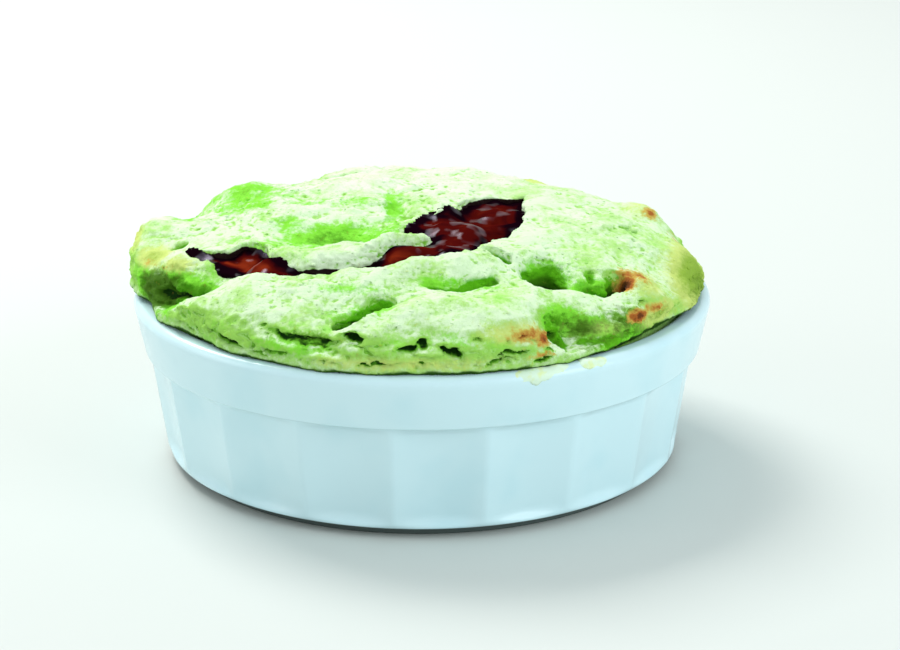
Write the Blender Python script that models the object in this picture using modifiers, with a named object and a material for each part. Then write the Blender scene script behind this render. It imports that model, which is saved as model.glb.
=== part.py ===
"""A small green souffle, risen and cracked open over its dark filling, in a fluted porcelain dish.

Run with: blender --background --python part.py
Metres, +Z up. The origin is the centre of the dish's base, and -Y is the side that faces the guest.
Three solids: the dish, the souffle that fills it and rises above it, and the filling in the crack.
"""

import math

import bmesh
import bpy
import numpy as np

MM = 0.001
TURN = 2 * math.pi

# Dish: driving sizes
RIM_RADIUS = 60.0 * MM
DISH_HEIGHT = 35.4 * MM
WALL = 4.8 * MM  # the dish's wall at its rim
RIM_ROUND = 1.7 * MM  # rounding of the rim's two edges
FLOOR = 4.0 * MM
BAND_HEIGHT = 11.1 * MM  # the plain band under the rim
BAND_TAPER = 1.9 * MM  # how much narrower the band is at its lower edge
LEDGE = 1.1 * MM  # step from the band in to the fluted wall
WALL_TAPER = 3.0 * MM
FOOT_HEIGHT = 1.6 * MM
FOOT_INSET = 3.4 * MM
FOOT_WIDTH = 4.0 * MM
FOOT_RECESS = 0.8 * MM
FLUTES = 19
STEPS_PER_FLUTE = 4
FLUTE_DEPTH = 1.2 * MM
FLUTE_TURN = math.radians(-95.6)  # where the first ridge between two flutes lies

# Souffle: driving sizes
GAP = 0.35 * MM  # clearance between pieces that touch
DOME_RISE = 16.5 * MM  # the crust's top above the rim
DOME_SHOULDER = 3.6
DOME_CURVE = 0.714
DOME_LEAN = 2.6  # how fast the dome gains height towards the back, per metre
CRUST_EDGE = 1.6 * MM  # thickness of the crust where it lies on the rim
CRUST_STEPS = 108
CRUST_RINGS = 15
LIP_ROUND = 1.4 * MM  # how far the crust's edge curls in under itself
CORNER = 3.4 * MM  # bevel where the souffle's wall meets its floor

# Edge of the crust at each compass angle, in degrees and millimetres: it hangs over the rim on the
# left, and stops short of it on the right and at the left of the front, where it pulled away.
CRUST_EDGE_RADIUS = (
    (0, 58.2), (15, 59.0), (40, 58.8), (80, 58.2), (120, 58.9), (150, 60.4), (170, 61.4), (180, 60.8),
    (186, 59.8), (191, 57.8), (196, 56.4), (201, 56.8), (206, 57.8), (212, 57.6), (220, 57.2), (232, 57.6),
    (245, 58.4), (262, 58.4), (282, 58.2), (296, 57.6), (303, 57.0), (312, 56.4), (325, 56.6), (338, 57.4),
    (350, 58.2),
)

# How far that edge is lifted off the rim at each compass angle.
CRUST_EDGE_LIFT = (
    (0, 0.6), (12, 0.3), (30, 0.2), (165, 0.3), (182, 0.8), (196, 0.6), (206, 0.3), (216, 0.7), (224, 0.7),
    (232, 0.2), (240, 0.0), (292, 0.0), (300, 0.3), (312, 1.2), (325, 1.5), (335, 2.0), (344, 2.0),
    (352, 1.0),
)

# Rounded swellings of the crust, and hollows where the height is negative. Each row is the
# centre's x and y, the radius across and along, the turn in degrees and the height.
SWELLINGS = {
    "left_shoulder": (-61, 6, 10, 13, 0, 9.4),
    "left_pool_dip": (-39, -24, 6, 4, -20, -1.6),
    "flap_left_dip": (-42, -33, 7, 4, -30, -1.4),
    "left_dip": (-50, 17, 3.5, 6, 0, -0.8),
    "left_back_lump": (-40, 21, 7, 8, 30, 3.4),
    "back_slab": (-19, 18, 13, 8, 12, 1.2),
    "back_dip": (-26, 26, 9, 6, 0, -1.2),
    "crown": (8, 26, 13, 7, -6, 0.2),
    "right_back_bump": (48, 13, 5.5, 6, 0, 2.8),
    "right_shoulder": (54, -6, 5, 9, 0, 1.4),
    "right_crown": (32, -10, 11, 9, 10, 1.4),
    "right_lobe": (45, -30, 8, 5, -35, 2.6),
    "hollow": (-16, -9, 15, 7.5, 6, -4.2),
    "hollow_arm": (-5, 6, 3.5, 9, 20, -2.2),
    "flap_end_recess": (27.5, -46, 5, 4.5, 30, -4.2),
    "steam_hole_slope": (24, -30, 6, 6, 0, -2.6),
    "back_right_dip": (31, 35, 9, 7, -40, -1.6),
    "back_left_lump": (-14, 43, 9, 5, 10, 0.4),
    "back_middle_dip": (12, 47, 8, 5, 0, -1.6),
    "back_left_dip": (-35, 38, 7, 5, 40, -1.6),
}

# Long swellings and furrows: width and height, then the line they follow.
RIDGES = {
    "left_lobe": (4.0, 2.3, ((-60, -6), (-55, -11), (-50, -15))),
    "flap_lip": (
        4.5,
        1.3,
        ((-47, -32), (-36, -36), (-24, -39), (-14, -39), (-4, -36), (5, -32), (12, -30)),
    ),
    "flap_shoulder": (7.0, 2.0, ((-44, -34), (-34, -43), (-20, -50), (-4, -52), (12, -51), (21, -48))),
    "island_lip": (3.4, 1.2, ((-27, -24), (-19, -27), (-11, -26.5), (-6, -22))),
    "island_tongue": (2.8, 1.5, ((-8, -24), (-3, -20), (0, -17.5))),
    "left_gap": (3.0, -5.4, ((-57, -18), (-52, -21.5), (-47, -24.5), (-42.5, -27))),
    "flap_crevice": (3.4, -3.2, ((-4, -43.5), (-10, -45.5), (-17, -48.5))),
    "lip_crevice": (3.0, -2.4, ((1, -37.5), (8, -39), (15, -34))),
    "lobe_crack": (3.2, -3.2, ((29, -32), (35, -32), (40, -30))),
    "lobe_gap": (3.0, -3.4, ((30, -45), (38, -42.5), (45, -38.5), (52, -33))),
    "back_crack": (3.4, -2.6, ((-31, 33), (-20, 36), (-8, 34), (2, 38))),
    "back_right_crack": (3.4, -2.4, ((18, 38), (29, 27), (40, 25))),
}

# The crack's line in plan: x, y, half width, and how far the filling lies below the crust.
CRACK = (
    (-47.5, -12.0, 0.8, 1.4), (-43.5, -16.0, 2.6, 0.9), (-38.5, -20.0, 4.6, 0.7), (-33.5, -22.8, 5.6, 0.7),
    (-29.8, -27.0, 3.0, 1.4), (-25.0, -29.8, 1.4, 3.4), (-19.0, -31.2, 1.3, 4.0), (-13.0, -31.2, 1.5, 3.6),
    (-7.5, -27.8, 2.6, 1.4), (-1.0, -22.2, 4.4, 0.9), (5.0, -15.6, 7.4, 0.8), (9.6, -8.0, 8.6, 0.6),
    (13.0, -1.4, 7.6, 0.6), (16.0, 4.6, 4.2, 0.8), (18.0, 8.0, 1.2, 1.4),
)
CRACK_DEPTH = 7.0 * MM
CRACK_SECTIONS = 24
CUTTER_REACH = 12.0 * MM  # how far the crack's cutter stands out above the crust

# Burst bubbles: x, y, radius across, radius along, and depth below the crust.
BUBBLES = {
    "steam_hole": (24.4, -30.6, 4.4, 5.4, 6.0),
    "right_tear": (38.6, -29.4, 3.2, 2.2, 4.0),
}

PORCELAIN = ("porcelain", (0.78, 0.88, 0.90), 0.18)
CRUST = ("pistachio_crust", (0.62, 0.83, 0.42), 0.85)
FILLING = ("dark_filling", (0.12, 0.02, 0.015), 0.15)


def clear_scene():
    """Removes every object of the startup scene."""
    for obj in list(bpy.data.objects):
        bpy.data.objects.remove(obj, do_unlink=True)


def new_collection(name, hidden=False):
    """A collection under the scene; the cutters' one stays out of the render."""
    made = bpy.data.collections.new(name)
    bpy.context.scene.collection.children.link(made)
    made.hide_render = hidden
    return made


def new_material(name, colour, roughness):
    """A plain Principled material."""
    material = bpy.data.materials.new(name)
    material.use_nodes = True
    shader = material.node_tree.nodes["Principled BSDF"]
    shader.inputs["Base Color"].default_value = (*colour, 1.0)
    shader.inputs["Roughness"].default_value = roughness
    shader.inputs["Metallic"].default_value = 0.0
    return material


def add_object(name, mesh, collection, finish=None):
    """An object for a mesh, in a collection, with its material."""
    obj = bpy.data.objects.new(name, mesh)
    collection.objects.link(obj)
    if finish:
        mesh.materials.append(new_material(*finish))
    return obj


def turned(name, profile, steps, collection):
    """Turns a profile of (radius, height) pairs about the Z axis with a Screw modifier."""
    mesh = bpy.data.meshes.new(name)
    edges = [(i, i + 1) for i in range(len(profile) - 1)]
    mesh.from_pydata([(r, 0.0, z) for r, z in profile], edges, [])
    obj = bpy.data.objects.new(name, mesh)
    collection.objects.link(obj)
    screw = obj.modifiers.new("turn", "SCREW")
    screw.angle = TURN
    screw.steps = steps
    screw.render_steps = steps
    screw.use_merge_vertices = True
    screw.merge_threshold = 0.00001
    bpy.context.view_layer.update()
    evaluated = obj.evaluated_get(bpy.context.evaluated_depsgraph_get())
    solid = bpy.data.meshes.new_from_object(evaluated)
    bpy.data.objects.remove(obj)
    return solid


def points_of(mesh):
    """The mesh's points as an array of rows."""
    flat = np.empty(len(mesh.vertices) * 3)
    mesh.vertices.foreach_get("co", flat)
    return flat.reshape(-1, 3)


def set_points(mesh, points):
    """Writes moved points back."""
    mesh.vertices.foreach_set("co", np.ascontiguousarray(points, dtype=float).ravel())
    mesh.update()


def arc(centre, radius, start, end, count):
    """Points on an arc in the (radius, height) plane, between two angles in degrees."""
    angles = np.radians(np.linspace(start, end, count))
    return [(centre[0] + radius * math.cos(a), centre[1] + radius * math.sin(a)) for a in angles]


# --- dish -------------------------------------------------------------------------------------


def inner_radius(height):
    """Radius of the dish's inner wall at a height."""
    bottom = RIM_RADIUS - WALL - BAND_TAPER - WALL_TAPER
    share = np.clip((height - FLOOR) / (DISH_HEIGHT - FLOOR), 0, 1)
    return bottom + (RIM_RADIUS - WALL - bottom) * share


def dish_profile():
    """From the middle of the inner floor up, over the rim and down to the middle of the base."""
    band_foot = DISH_HEIGHT - BAND_HEIGHT
    band_radius = RIM_RADIUS - BAND_TAPER
    wall_top = band_radius - LEDGE
    wall_foot = wall_top - WALL_TAPER
    foot_outer = wall_foot - FOOT_INSET
    corner = 3.0 * MM
    floor_edge = inner_radius(FLOOR) - corner
    inside = [(0.0, FLOOR), (floor_edge, FLOOR)]
    inside += arc((floor_edge, FLOOR + corner), corner, -60, -5, 2)
    rim_centre = DISH_HEIGHT - RIM_ROUND
    rim = arc((RIM_RADIUS - WALL + RIM_ROUND, rim_centre), RIM_ROUND, 180, 90, 4)
    rim += arc((RIM_RADIUS - RIM_ROUND, rim_centre), RIM_ROUND, 90, 0, 4)
    band = [(band_radius, band_foot + 0.7 * MM), (band_radius - 0.4 * MM, band_foot)]
    wall = [(wall_top, band_foot - 0.5 * MM), (wall_foot, FOOT_HEIGHT + 2.0 * MM)]
    wall += [(wall_foot - 1.2 * MM, FOOT_HEIGHT)]
    foot = [(foot_outer, FOOT_HEIGHT), (foot_outer - 0.4 * MM, 0.0)]
    foot += [(foot_outer - FOOT_WIDTH, 0.0), (foot_outer - FOOT_WIDTH - 0.4 * MM, FOOT_RECESS)]
    return inside + rim + band + wall + foot + [(0.0, FOOT_RECESS)]


def build_dish(collection):
    """The turned dish, with hollow flutes and sharp ridges between them in the wall below its band."""
    steps = FLUTES * STEPS_PER_FLUTE
    mesh = turned("dish_turned", dish_profile(), steps, collection)
    points = points_of(mesh)
    radius = np.hypot(points[:, 0], points[:, 1])
    angle = np.arctan2(points[:, 1], points[:, 0])
    step = np.rint(angle / TURN * steps).astype(int) % STEPS_PER_FLUTE
    share = np.minimum(step, STEPS_PER_FLUTE - step) / (STEPS_PER_FLUTE / 2)
    on_wall = (points[:, 2] >= FOOT_HEIGHT) & (points[:, 2] < DISH_HEIGHT - BAND_HEIGHT - 0.1 * MM)
    outside = radius > inner_radius(points[:, 2]) + WALL / 2
    hollow = FLUTE_DEPTH * share * (2 - share)
    radius = np.where(on_wall & outside, radius - hollow, radius)
    points[:, 0] = radius * np.cos(angle + FLUTE_TURN)
    points[:, 1] = radius * np.sin(angle + FLUTE_TURN)
    set_points(mesh, points)
    mesh.shade_smooth()
    mesh.set_sharp_from_angle(angle=math.radians(30))
    add_object("ramekin", mesh, collection, PORCELAIN)


# --- souffle ----------------------------------------------------------------------------------


def crust_edge(degrees):
    """Radius of the crust's edge at a compass angle, read between the rows of its table."""
    angles, radii = np.array(CRUST_EDGE_RADIUS, float).T
    return np.interp(degrees, angles, radii, period=360) * MM


def edge_lift(degrees):
    """How far the crust's edge is lifted off the rim at a compass angle."""
    angles, lifts = np.array(CRUST_EDGE_LIFT, float).T
    return np.interp(degrees, angles, lifts, period=360) * MM


def dome(x, y):
    """Height of the plain dome above the rim, leaning a little towards the back."""
    share = np.clip(np.hypot(x, y) / RIM_RADIUS, 0, 1)
    return DOME_RISE * (1 - share**DOME_SHOULDER) ** DOME_CURVE * (1 + DOME_LEAN * y)


def swelling(x, y, row):
    """A rounded swelling, or a hollow where its height is negative."""
    cx, cy, across, along, turn, height = row
    c, s = math.cos(math.radians(turn)), math.sin(math.radians(turn))
    u = ((x - cx * MM) * c + (y - cy * MM) * s) / (across * MM)
    v = (-(x - cx * MM) * s + (y - cy * MM) * c) / (along * MM)
    return height * MM * np.exp(-(u * u + v * v))


def line_distance(x, y, line):
    """Distance in plan to the nearest part of a line of points."""
    nearest = np.full(np.shape(x), np.inf)
    for (ax, ay), (bx, by) in zip(line, line[1:]):
        ux, uy = (bx - ax) * MM, (by - ay) * MM
        t = np.clip(((x - ax * MM) * ux + (y - ay * MM) * uy) / (ux * ux + uy * uy), 0, 1)
        nearest = np.minimum(nearest, np.hypot(x - ax * MM - t * ux, y - ay * MM - t * uy))
    return nearest


def ridge(x, y, row):
    """A long swelling or furrow that follows a line."""
    width, height, line = row
    return height * MM * np.exp(-((line_distance(x, y, line) / (width * MM)) ** 2))


def crust_top(x, y):
    """Height of the crust above the rim, with its swellings, ridges and furrows."""
    height = dome(x, y)
    height = height + sum(swelling(x, y, row) for row in SWELLINGS.values())
    return height + sum(ridge(x, y, row) for row in RIDGES.values())


def souffle_profile():
    """Rings of the top out to the rim's radius, then the curled edge, the wall in the dish and the floor."""
    top_rings = (*np.linspace(0, 0.92, CRUST_RINGS), 0.965, 1.0)
    top = [(share * RIM_RADIUS, DISH_HEIGHT + DOME_RISE) for share in top_rings]
    under = DISH_HEIGHT + GAP
    curl = [(RIM_RADIUS - 0.2 * LIP_ROUND, under + 0.4 * LIP_ROUND), (RIM_RADIUS - LIP_ROUND, under)]
    floor = FLOOR + GAP
    floor_radius = inner_radius(FLOOR) - GAP
    core = [(inner_radius(DISH_HEIGHT) - GAP, under), (floor_radius, floor + CORNER)]
    return top + curl + core + [(floor_radius - CORNER, floor), (0.0, floor)]


def build_body(collection):
    """The souffle's body: turned, then its top is raised to the crust's height point by point."""
    mesh = turned("souffle_turned", souffle_profile(), CRUST_STEPS, collection)
    points = points_of(mesh)
    radius = np.hypot(points[:, 0], points[:, 1])
    degrees = np.degrees(np.arctan2(points[:, 1], points[:, 0]))
    top = points[:, 2] > DISH_HEIGHT + DOME_RISE / 2
    curled = (points[:, 2] > DISH_HEIGHT) & (radius > inner_radius(DISH_HEIGHT))
    neck = (points[:, 2] > DISH_HEIGHT) & ~top & ~curled
    edge = crust_edge(degrees)
    lift = edge_lift(degrees)
    neck_radius = np.minimum(radius, edge - LIP_ROUND - 0.3 * MM - lift)
    scale = np.where(top | curled, edge / RIM_RADIUS, 1.0)
    scale = np.where(neck, neck_radius / np.maximum(radius, MM), scale)
    points[:, 0] *= scale
    points[:, 1] *= scale
    raised = DISH_HEIGHT + np.maximum(crust_top(points[:, 0], points[:, 1]), CRUST_EDGE + lift)
    points[:, 2] = np.where(top, raised, points[:, 2] + lift * curled)
    set_points(mesh, points)
    return add_object("souffle", mesh, collection, CRUST)


def closed_loft(name, sections, collection):
    """Skins a row of closed sections with quads, and closes each end with one face."""
    count = len(sections[0])
    points = [tuple(p) for section in sections for p in section]
    faces = []
    for i in range(len(sections) - 1):
        for j in range(count):
            k = (j + 1) % count
            faces.append((i * count + j, i * count + k, (i + 1) * count + k, (i + 1) * count + j))
    last = (len(sections) - 1) * count
    faces.append(tuple(reversed(range(count))))
    faces.append(tuple(range(last, last + count)))
    mesh = bpy.data.meshes.new(name)
    mesh.from_pydata(points, [], faces)
    shape = bmesh.new()
    shape.from_mesh(mesh)
    bmesh.ops.triangulate(shape, faces=shape.faces)
    bmesh.ops.recalc_face_normals(shape, faces=shape.faces)
    shape.to_mesh(mesh)
    shape.free()
    return add_object(name, mesh, collection)


def crack_stations():
    """Stations along the crack: rows of x, y, half width and filling drop, and the way across each."""
    table = np.array(CRACK, float) * MM
    along = np.linspace(0, len(table) - 1, CRACK_SECTIONS)
    rows = np.stack([np.interp(along, np.arange(len(table)), column) for column in table.T], axis=1)
    ahead = np.gradient(rows[:, :2], axis=0)
    ahead /= np.linalg.norm(ahead, axis=1)[:, None]
    across = np.stack([-ahead[:, 1], ahead[:, 0]], axis=1)
    return rows, across


def build_trough(name, clearance, is_cutter, collection):
    """A trough along the crack, flat above and round below, inset from the crack by a clearance."""
    sections = []
    for (x, y, half, drop), side in zip(*crack_stations()):
        half = max(half - clearance, GAP)
        crust = DISH_HEIGHT + float(crust_top(x, y))
        top = crust + CUTTER_REACH if is_cutter else crust - drop
        wall_foot = crust - CRACK_DEPTH * 0.45
        depth = CRACK_DEPTH * 0.55 - clearance
        section = [(x + side[0] * half * k, y + side[1] * half * k, top) for k in (1.0, 0.0, -1.0)]
        for angle in np.radians(np.linspace(180, 360, 7)):
            out = half * math.cos(angle)
            section.append((x + side[0] * out, y + side[1] * out, wall_foot + depth * math.sin(angle)))
        sections.append(section)
    return closed_loft(name, sections, collection)


def build_bubbles(collection):
    """Ellipsoid cutters for the burst bubbles."""
    made = []
    for name, (x, y, across, along, depth) in BUBBLES.items():
        mesh = bpy.data.meshes.new(name)
        shape = bmesh.new()
        bmesh.ops.create_uvsphere(shape, u_segments=12, v_segments=8, radius=1.0)
        level = DISH_HEIGHT + float(crust_top(x * MM, y * MM))
        for vertex in shape.verts:
            co = vertex.co
            vertex.co = (x * MM + co.x * across * MM, y * MM + co.y * along * MM, level + co.z * depth * MM)
        shape.to_mesh(mesh)
        shape.free()
        made.append(add_object(name, mesh, collection))
    return made


def cut(target, cutter):
    """Cuts a helper's shape out of a piece with a Boolean modifier."""
    modifier = target.modifiers.new(f"cut_{cutter.name}", "BOOLEAN")
    modifier.operation = "DIFFERENCE"
    modifier.solver = "EXACT"
    modifier.object = cutter
    cutter.hide_render = True
    cutter.display_type = "WIRE"


def build_souffle(collection, helpers):
    """The body with the crack and the burst bubbles cut out."""
    body = build_body(collection)
    for cutter in (build_trough("crack", 0.0, True, helpers), *build_bubbles(helpers)):
        cut(body, cutter)


def build_filling(collection):
    """The dark filling that lies in the crack, a little below the crust."""
    filling = build_trough("dark_filling", GAP, False, collection)
    filling.data.materials.append(new_material(*FILLING))


def main():
    clear_scene()
    pieces = new_collection("souffle_in_dish")
    helpers = new_collection("helpers", hidden=True)
    build_dish(pieces)
    build_souffle(pieces, helpers)
    build_filling(pieces)


main()
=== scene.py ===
# %% [markdown]
# # A green souffle in a fluted porcelain dish
#
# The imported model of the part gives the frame: the dish's real size, the souffle's main lumps and
# the crack with its dark filling. This script dresses it. Every piece below stands in for one of
# the three solids, or lies on one, and none of them changes the size of anything.

# %% Load the frame
import itertools
import math

import bmesh
import bpy
import numpy as np
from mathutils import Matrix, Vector


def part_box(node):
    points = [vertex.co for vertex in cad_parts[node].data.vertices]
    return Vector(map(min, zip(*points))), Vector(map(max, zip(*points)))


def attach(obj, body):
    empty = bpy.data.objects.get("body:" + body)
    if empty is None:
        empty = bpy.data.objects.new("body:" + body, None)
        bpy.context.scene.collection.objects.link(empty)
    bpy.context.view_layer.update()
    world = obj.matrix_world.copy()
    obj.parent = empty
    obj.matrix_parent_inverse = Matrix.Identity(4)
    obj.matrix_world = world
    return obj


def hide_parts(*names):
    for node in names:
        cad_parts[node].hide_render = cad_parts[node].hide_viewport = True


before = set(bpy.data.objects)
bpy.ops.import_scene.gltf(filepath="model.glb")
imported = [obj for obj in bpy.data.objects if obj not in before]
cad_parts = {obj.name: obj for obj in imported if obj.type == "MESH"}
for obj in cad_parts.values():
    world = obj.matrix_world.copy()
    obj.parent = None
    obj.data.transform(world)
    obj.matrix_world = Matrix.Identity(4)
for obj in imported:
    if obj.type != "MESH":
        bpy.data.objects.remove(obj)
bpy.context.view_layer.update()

MM = 0.001
TURN = 2 * math.pi
RIM_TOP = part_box("ramekin")[1].z
RIM_RADIUS = round(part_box("ramekin")[1].x, 3)
print("rim", round(RIM_RADIUS / MM, 1), "mm out and", round(RIM_TOP / MM, 1), "mm up")


# %% [markdown]
# ## Point the camera
#
# The camera stands about half a metre in front of the dish and a little above it, as a guest at the
# table sees it. A short lens close by would frame the dish as well, but it would stretch the near
# rim, so a long lens is used from further off. The view transform is Standard, so a colour written
# in hex comes out as that colour where the light is even. A filmic transform would grey the greens.

# %% Camera
CAMERA_SIDE = 5.8 * MM
CAMERA_BACK = 538.6 * MM
CAMERA_UP = 202.4 * MM
CAMERA_TILT = math.radians(18.08)
LENS = 107.8
scene = bpy.context.scene
camera_data = bpy.data.cameras.new("camera")
camera_data.lens = LENS
camera_data.sensor_width = 36.0
camera = bpy.data.objects.new("camera", camera_data)
camera.location = (CAMERA_SIDE, -CAMERA_BACK, CAMERA_UP)
camera.rotation_euler = (math.pi / 2 - CAMERA_TILT, 0, 0)
scene.collection.objects.link(camera)
scene.camera = camera
scene.view_settings.view_transform = "Standard"
print("camera", round(camera.location.length / MM), "mm away")


# %% [markdown]
# ## Shape of the risen crust
#
# A souffle is beaten egg white folded into a thick sauce. Steam lifts it out of the dish in the
# oven and its skin dries to a crust. It could be sculpted by hand, but then no lump has a number
# that can be changed later. Seen from above the crust is a low dome without overhangs, so its shape
# is written as a height over the plan: a dome, then swellings and ridges added to it. Each lump has
# its own name, place and size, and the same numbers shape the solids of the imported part.

# %% The crust's main shapes
GAP = 0.35 * MM  # between the souffle and the glaze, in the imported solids
DOME_RISE = 16.5 * MM
DOME_SHOULDER = 3.6  # a larger number gives a squarer shoulder
DOME_CURVE = 0.714
DOME_LEAN = 2.6  # share by which the back is higher, for each metre back
CRUST_EDGE = 1.6 * MM  # least height of the crust above the rim
# Radius of the crust's edge at each compass angle, and how far that edge is lifted off the rim.
CRUST_EDGE_RADIUS = (
    (0, 58.2), (15, 59.0), (40, 58.8), (80, 58.2), (120, 58.9), (150, 60.4), (170, 61.4), (180, 60.8),
    (186, 59.8), (191, 57.8), (196, 56.4), (201, 56.8), (206, 57.8), (212, 57.6), (220, 57.2), (232, 57.6),
    (245, 58.4), (262, 58.4), (282, 58.2), (296, 57.6), (303, 57.0), (312, 56.4), (325, 56.6), (338, 57.4),
    (350, 58.2),
)
CRUST_EDGE_LIFT = (
    (0, 0.4), (12, 0.2), (30, 0.1), (165, 0.1), (182, 0.6), (196, 0.4), (206, 0.0), (216, 0.3), (224, 0.3),
    (232, 0.0), (300, 0.0), (312, 0.4), (325, 0.8), (335, 1.3), (344, 1.4), (352, 0.5),
)
print("crust", round(DOME_RISE / MM, 1), "mm high, its edge", len(CRUST_EDGE_RADIUS), "points")


# %% [markdown]
# ## Lumps, dips, folds
#
# The skin rises unevenly: a shoulder hangs over the rim, a flap lies in front of the crack and an
# island of crust is left behind it. Metaballs would give soft lumps too, but each pulls on its
# neighbours, while added heights stay where they are put. Round lumps are turned ovals that fade
# like a bell, and long folds follow a line of points. A negative height makes a dip or a furrow.

# %% Swellings and ridges
# Centre x and y, radius across and along, turn in degrees and height, in mm.
SWELLINGS = {
    "left_shoulder": (-61, 6, 10, 13, 0, 9.4),
    "left_pool_dip": (-39, -24, 6, 4, -20, -1.6),
    "flap_left_dip": (-42, -33, 7, 4, -30, -1.4),
    "left_dip": (-50, 17, 3.5, 6, 0, -0.8),
    "left_back_lump": (-40, 21, 7, 8, 30, 3.4),
    "back_slab": (-19, 18, 13, 8, 12, 1.2),
    "back_dip": (-26, 26, 9, 6, 0, -1.2),
    "crown": (8, 26, 13, 7, -6, 0.2),
    "right_back_bump": (48, 13, 5.5, 6, 0, 2.8),
    "right_shoulder": (54, -6, 5, 9, 0, 1.4),
    "right_crown": (32, -10, 11, 9, 10, 1.4),
    "right_lobe": (45, -30, 8, 5, -35, 2.6),
    "hollow": (-16, -9, 15, 7.5, 6, -4.2),
    "hollow_arm": (-5, 6, 3.5, 9, 20, -2.2),
    "flap_end_recess": (27.5, -46, 5, 4.5, 30, -4.2),
    "steam_hole_slope": (24, -30, 6, 6, 0, -2.6),
    "back_right_dip": (31, 35, 9, 7, -40, -1.6),
    "back_left_lump": (-14, 43, 9, 5, 10, 0.4),
    "back_middle_dip": (12, 47, 8, 5, 0, -1.6),
    "back_left_dip": (-35, 38, 7, 5, 40, -1.6),
}
# Width and height in mm, then the line of points.
RIDGES = {
    "left_lobe": (4.0, 2.3, ((-60, -6), (-55, -11), (-50, -15))),
    "flap_lip": (
        4.5, 1.3, ((-47, -32), (-36, -36), (-24, -39), (-14, -39), (-4, -36), (5, -32), (12, -30)),
    ),
    "flap_shoulder": (7.0, 2.0, ((-44, -34), (-34, -43), (-20, -50), (-4, -52), (12, -51), (21, -48))),
    "island_lip": (3.4, 1.2, ((-27, -24), (-19, -27), (-11, -26.5), (-6, -22))),
    "island_tongue": (2.8, 1.5, ((-8, -24), (-3, -20), (0, -17.5))),
    "left_gap": (2.6, -3.4, ((-57, -18), (-52, -21.5), (-47, -24.5), (-42.5, -27))),
    "flap_crevice": (3.4, -1.4, ((-4, -43.5), (-10, -45.5), (-17, -48.5))),
    "lip_crevice": (3.0, -1.0, ((1, -37.5), (8, -39), (15, -34))),
    "lobe_crack": (3.2, -1.6, ((29, -32), (35, -32), (40, -30))),
    "lobe_gap": (3.0, -1.4, ((30, -45), (38, -42.5), (45, -38.5), (52, -33))),
    "back_crack": (3.4, -1.4, ((-31, 33), (-20, 36), (-8, 34), (2, 38))),
    "back_right_crack": (3.4, -1.4, ((18, 38), (29, 27), (40, 25))),
}
print(len(SWELLINGS), "swellings and", len(RIDGES), "ridges")


# %% [markdown]
# ## Add them up
#
# On the real crust one lump flows into the next without a seam. A Displace modifier for each lump
# would do that too, but it would serve one mesh only. These functions add everything to one height.
# They take whole arrays of points, so the same few lines serve the body, the sauce and the masks.

# %% Height of the crust
def crust_edge(degrees):
    """Radius of the crust's edge at a compass angle."""
    angles, radii = np.array(CRUST_EDGE_RADIUS, float).T
    return np.interp(degrees, angles, radii, period=360) * MM


def edge_lift(degrees):
    """How far the crust's edge is lifted off the rim at a compass angle."""
    angles, lifts = np.array(CRUST_EDGE_LIFT, float).T
    return np.interp(degrees, angles, lifts, period=360) * MM


def dome(x, y):
    """Height of the plain dome above the rim."""
    share = np.clip(np.hypot(x, y) / RIM_RADIUS, 0, 1)
    return DOME_RISE * (1 - share**DOME_SHOULDER) ** DOME_CURVE * (1 + DOME_LEAN * y)


def blob(x, y, cx, cy, across, along, turn):
    """1 in the middle of a turned oval, falling to 0 outside it."""
    cosine, sine = math.cos(math.radians(turn)), math.sin(math.radians(turn))
    u = ((x - cx * MM) * cosine + (y - cy * MM) * sine) / (across * MM)
    v = ((y - cy * MM) * cosine - (x - cx * MM) * sine) / (along * MM)
    return np.exp(-(u * u + v * v))


def along_line(x, y, line):
    """Distance in plan to a line of points, and how far along the line, in points, that is."""
    nearest = np.full(x.shape, np.inf)
    place = np.zeros(x.shape)
    for i, ((ax, ay), (bx, by)) in enumerate(zip(line, line[1:])):
        ux, uy = (bx - ax) * MM, (by - ay) * MM
        t = np.clip(((x - ax * MM) * ux + (y - ay * MM) * uy) / (ux * ux + uy * uy), 0, 1)
        away = np.hypot(x - ax * MM - t * ux, y - ay * MM - t * uy)
        place = np.where(away < nearest, i + t, place)
        nearest = np.minimum(nearest, away)
    return nearest, place


def smooth_crust(x, y):
    """Height of the crust above the rim, before its tears."""
    height = dome(x, y)
    for *oval, rise in SWELLINGS.values():
        height = height + rise * MM * blob(x, y, *oval)
    for width, rise, line in RIDGES.values():
        height = height + rise * MM * np.exp(-((along_line(x, y, line)[0] / (width * MM)) ** 2))
    return height


print("middle of the crust", (smooth_crust(*np.zeros((2, 1))) / MM).round(1), "mm above the rim")


# %% [markdown]
# ## Noise
#
# Torn food has no straight edges. Blender's Python has a noise of its own, but it takes one point
# at a time, which is slow for a hundred thousand points. So this noise takes random numbers on a
# grid and blends them smoothly, for all points at once. A seed gives the same bumps on every run.
# The smooth step turns any measure into a mask from 0 to 1 with soft ends.

# %% Helpers for noise
HASH = np.array([73856093, 19349663, 83492791])


def noise(points, size, seed):
    """Smooth noise from -1 to 1 whose bumps are about one size apart."""
    cell = points / size
    base = np.floor(cell).astype(np.int64)
    part = cell - base
    part = part * part * (3 - 2 * part)
    table = np.random.default_rng(seed).uniform(-1, 1, 4096)
    total = np.zeros(len(points))
    for corner in itertools.product((0, 1), repeat=points.shape[1]):
        key = np.bitwise_xor.reduce((base + corner) * HASH[: points.shape[1]], axis=1) % 4096
        weight = np.prod(np.where(corner, part, 1 - part), axis=1)
        total += table[key] * weight
    return total


def smooth_step(low, high, value):
    """0 below low, 1 above high and a smooth rise between."""
    t = np.clip((value - low) / (high - low), 0, 1)
    return t * t * (3 - 2 * t)


print("noise at three places", noise(np.eye(3), 0.7, 1).round(2))


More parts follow.
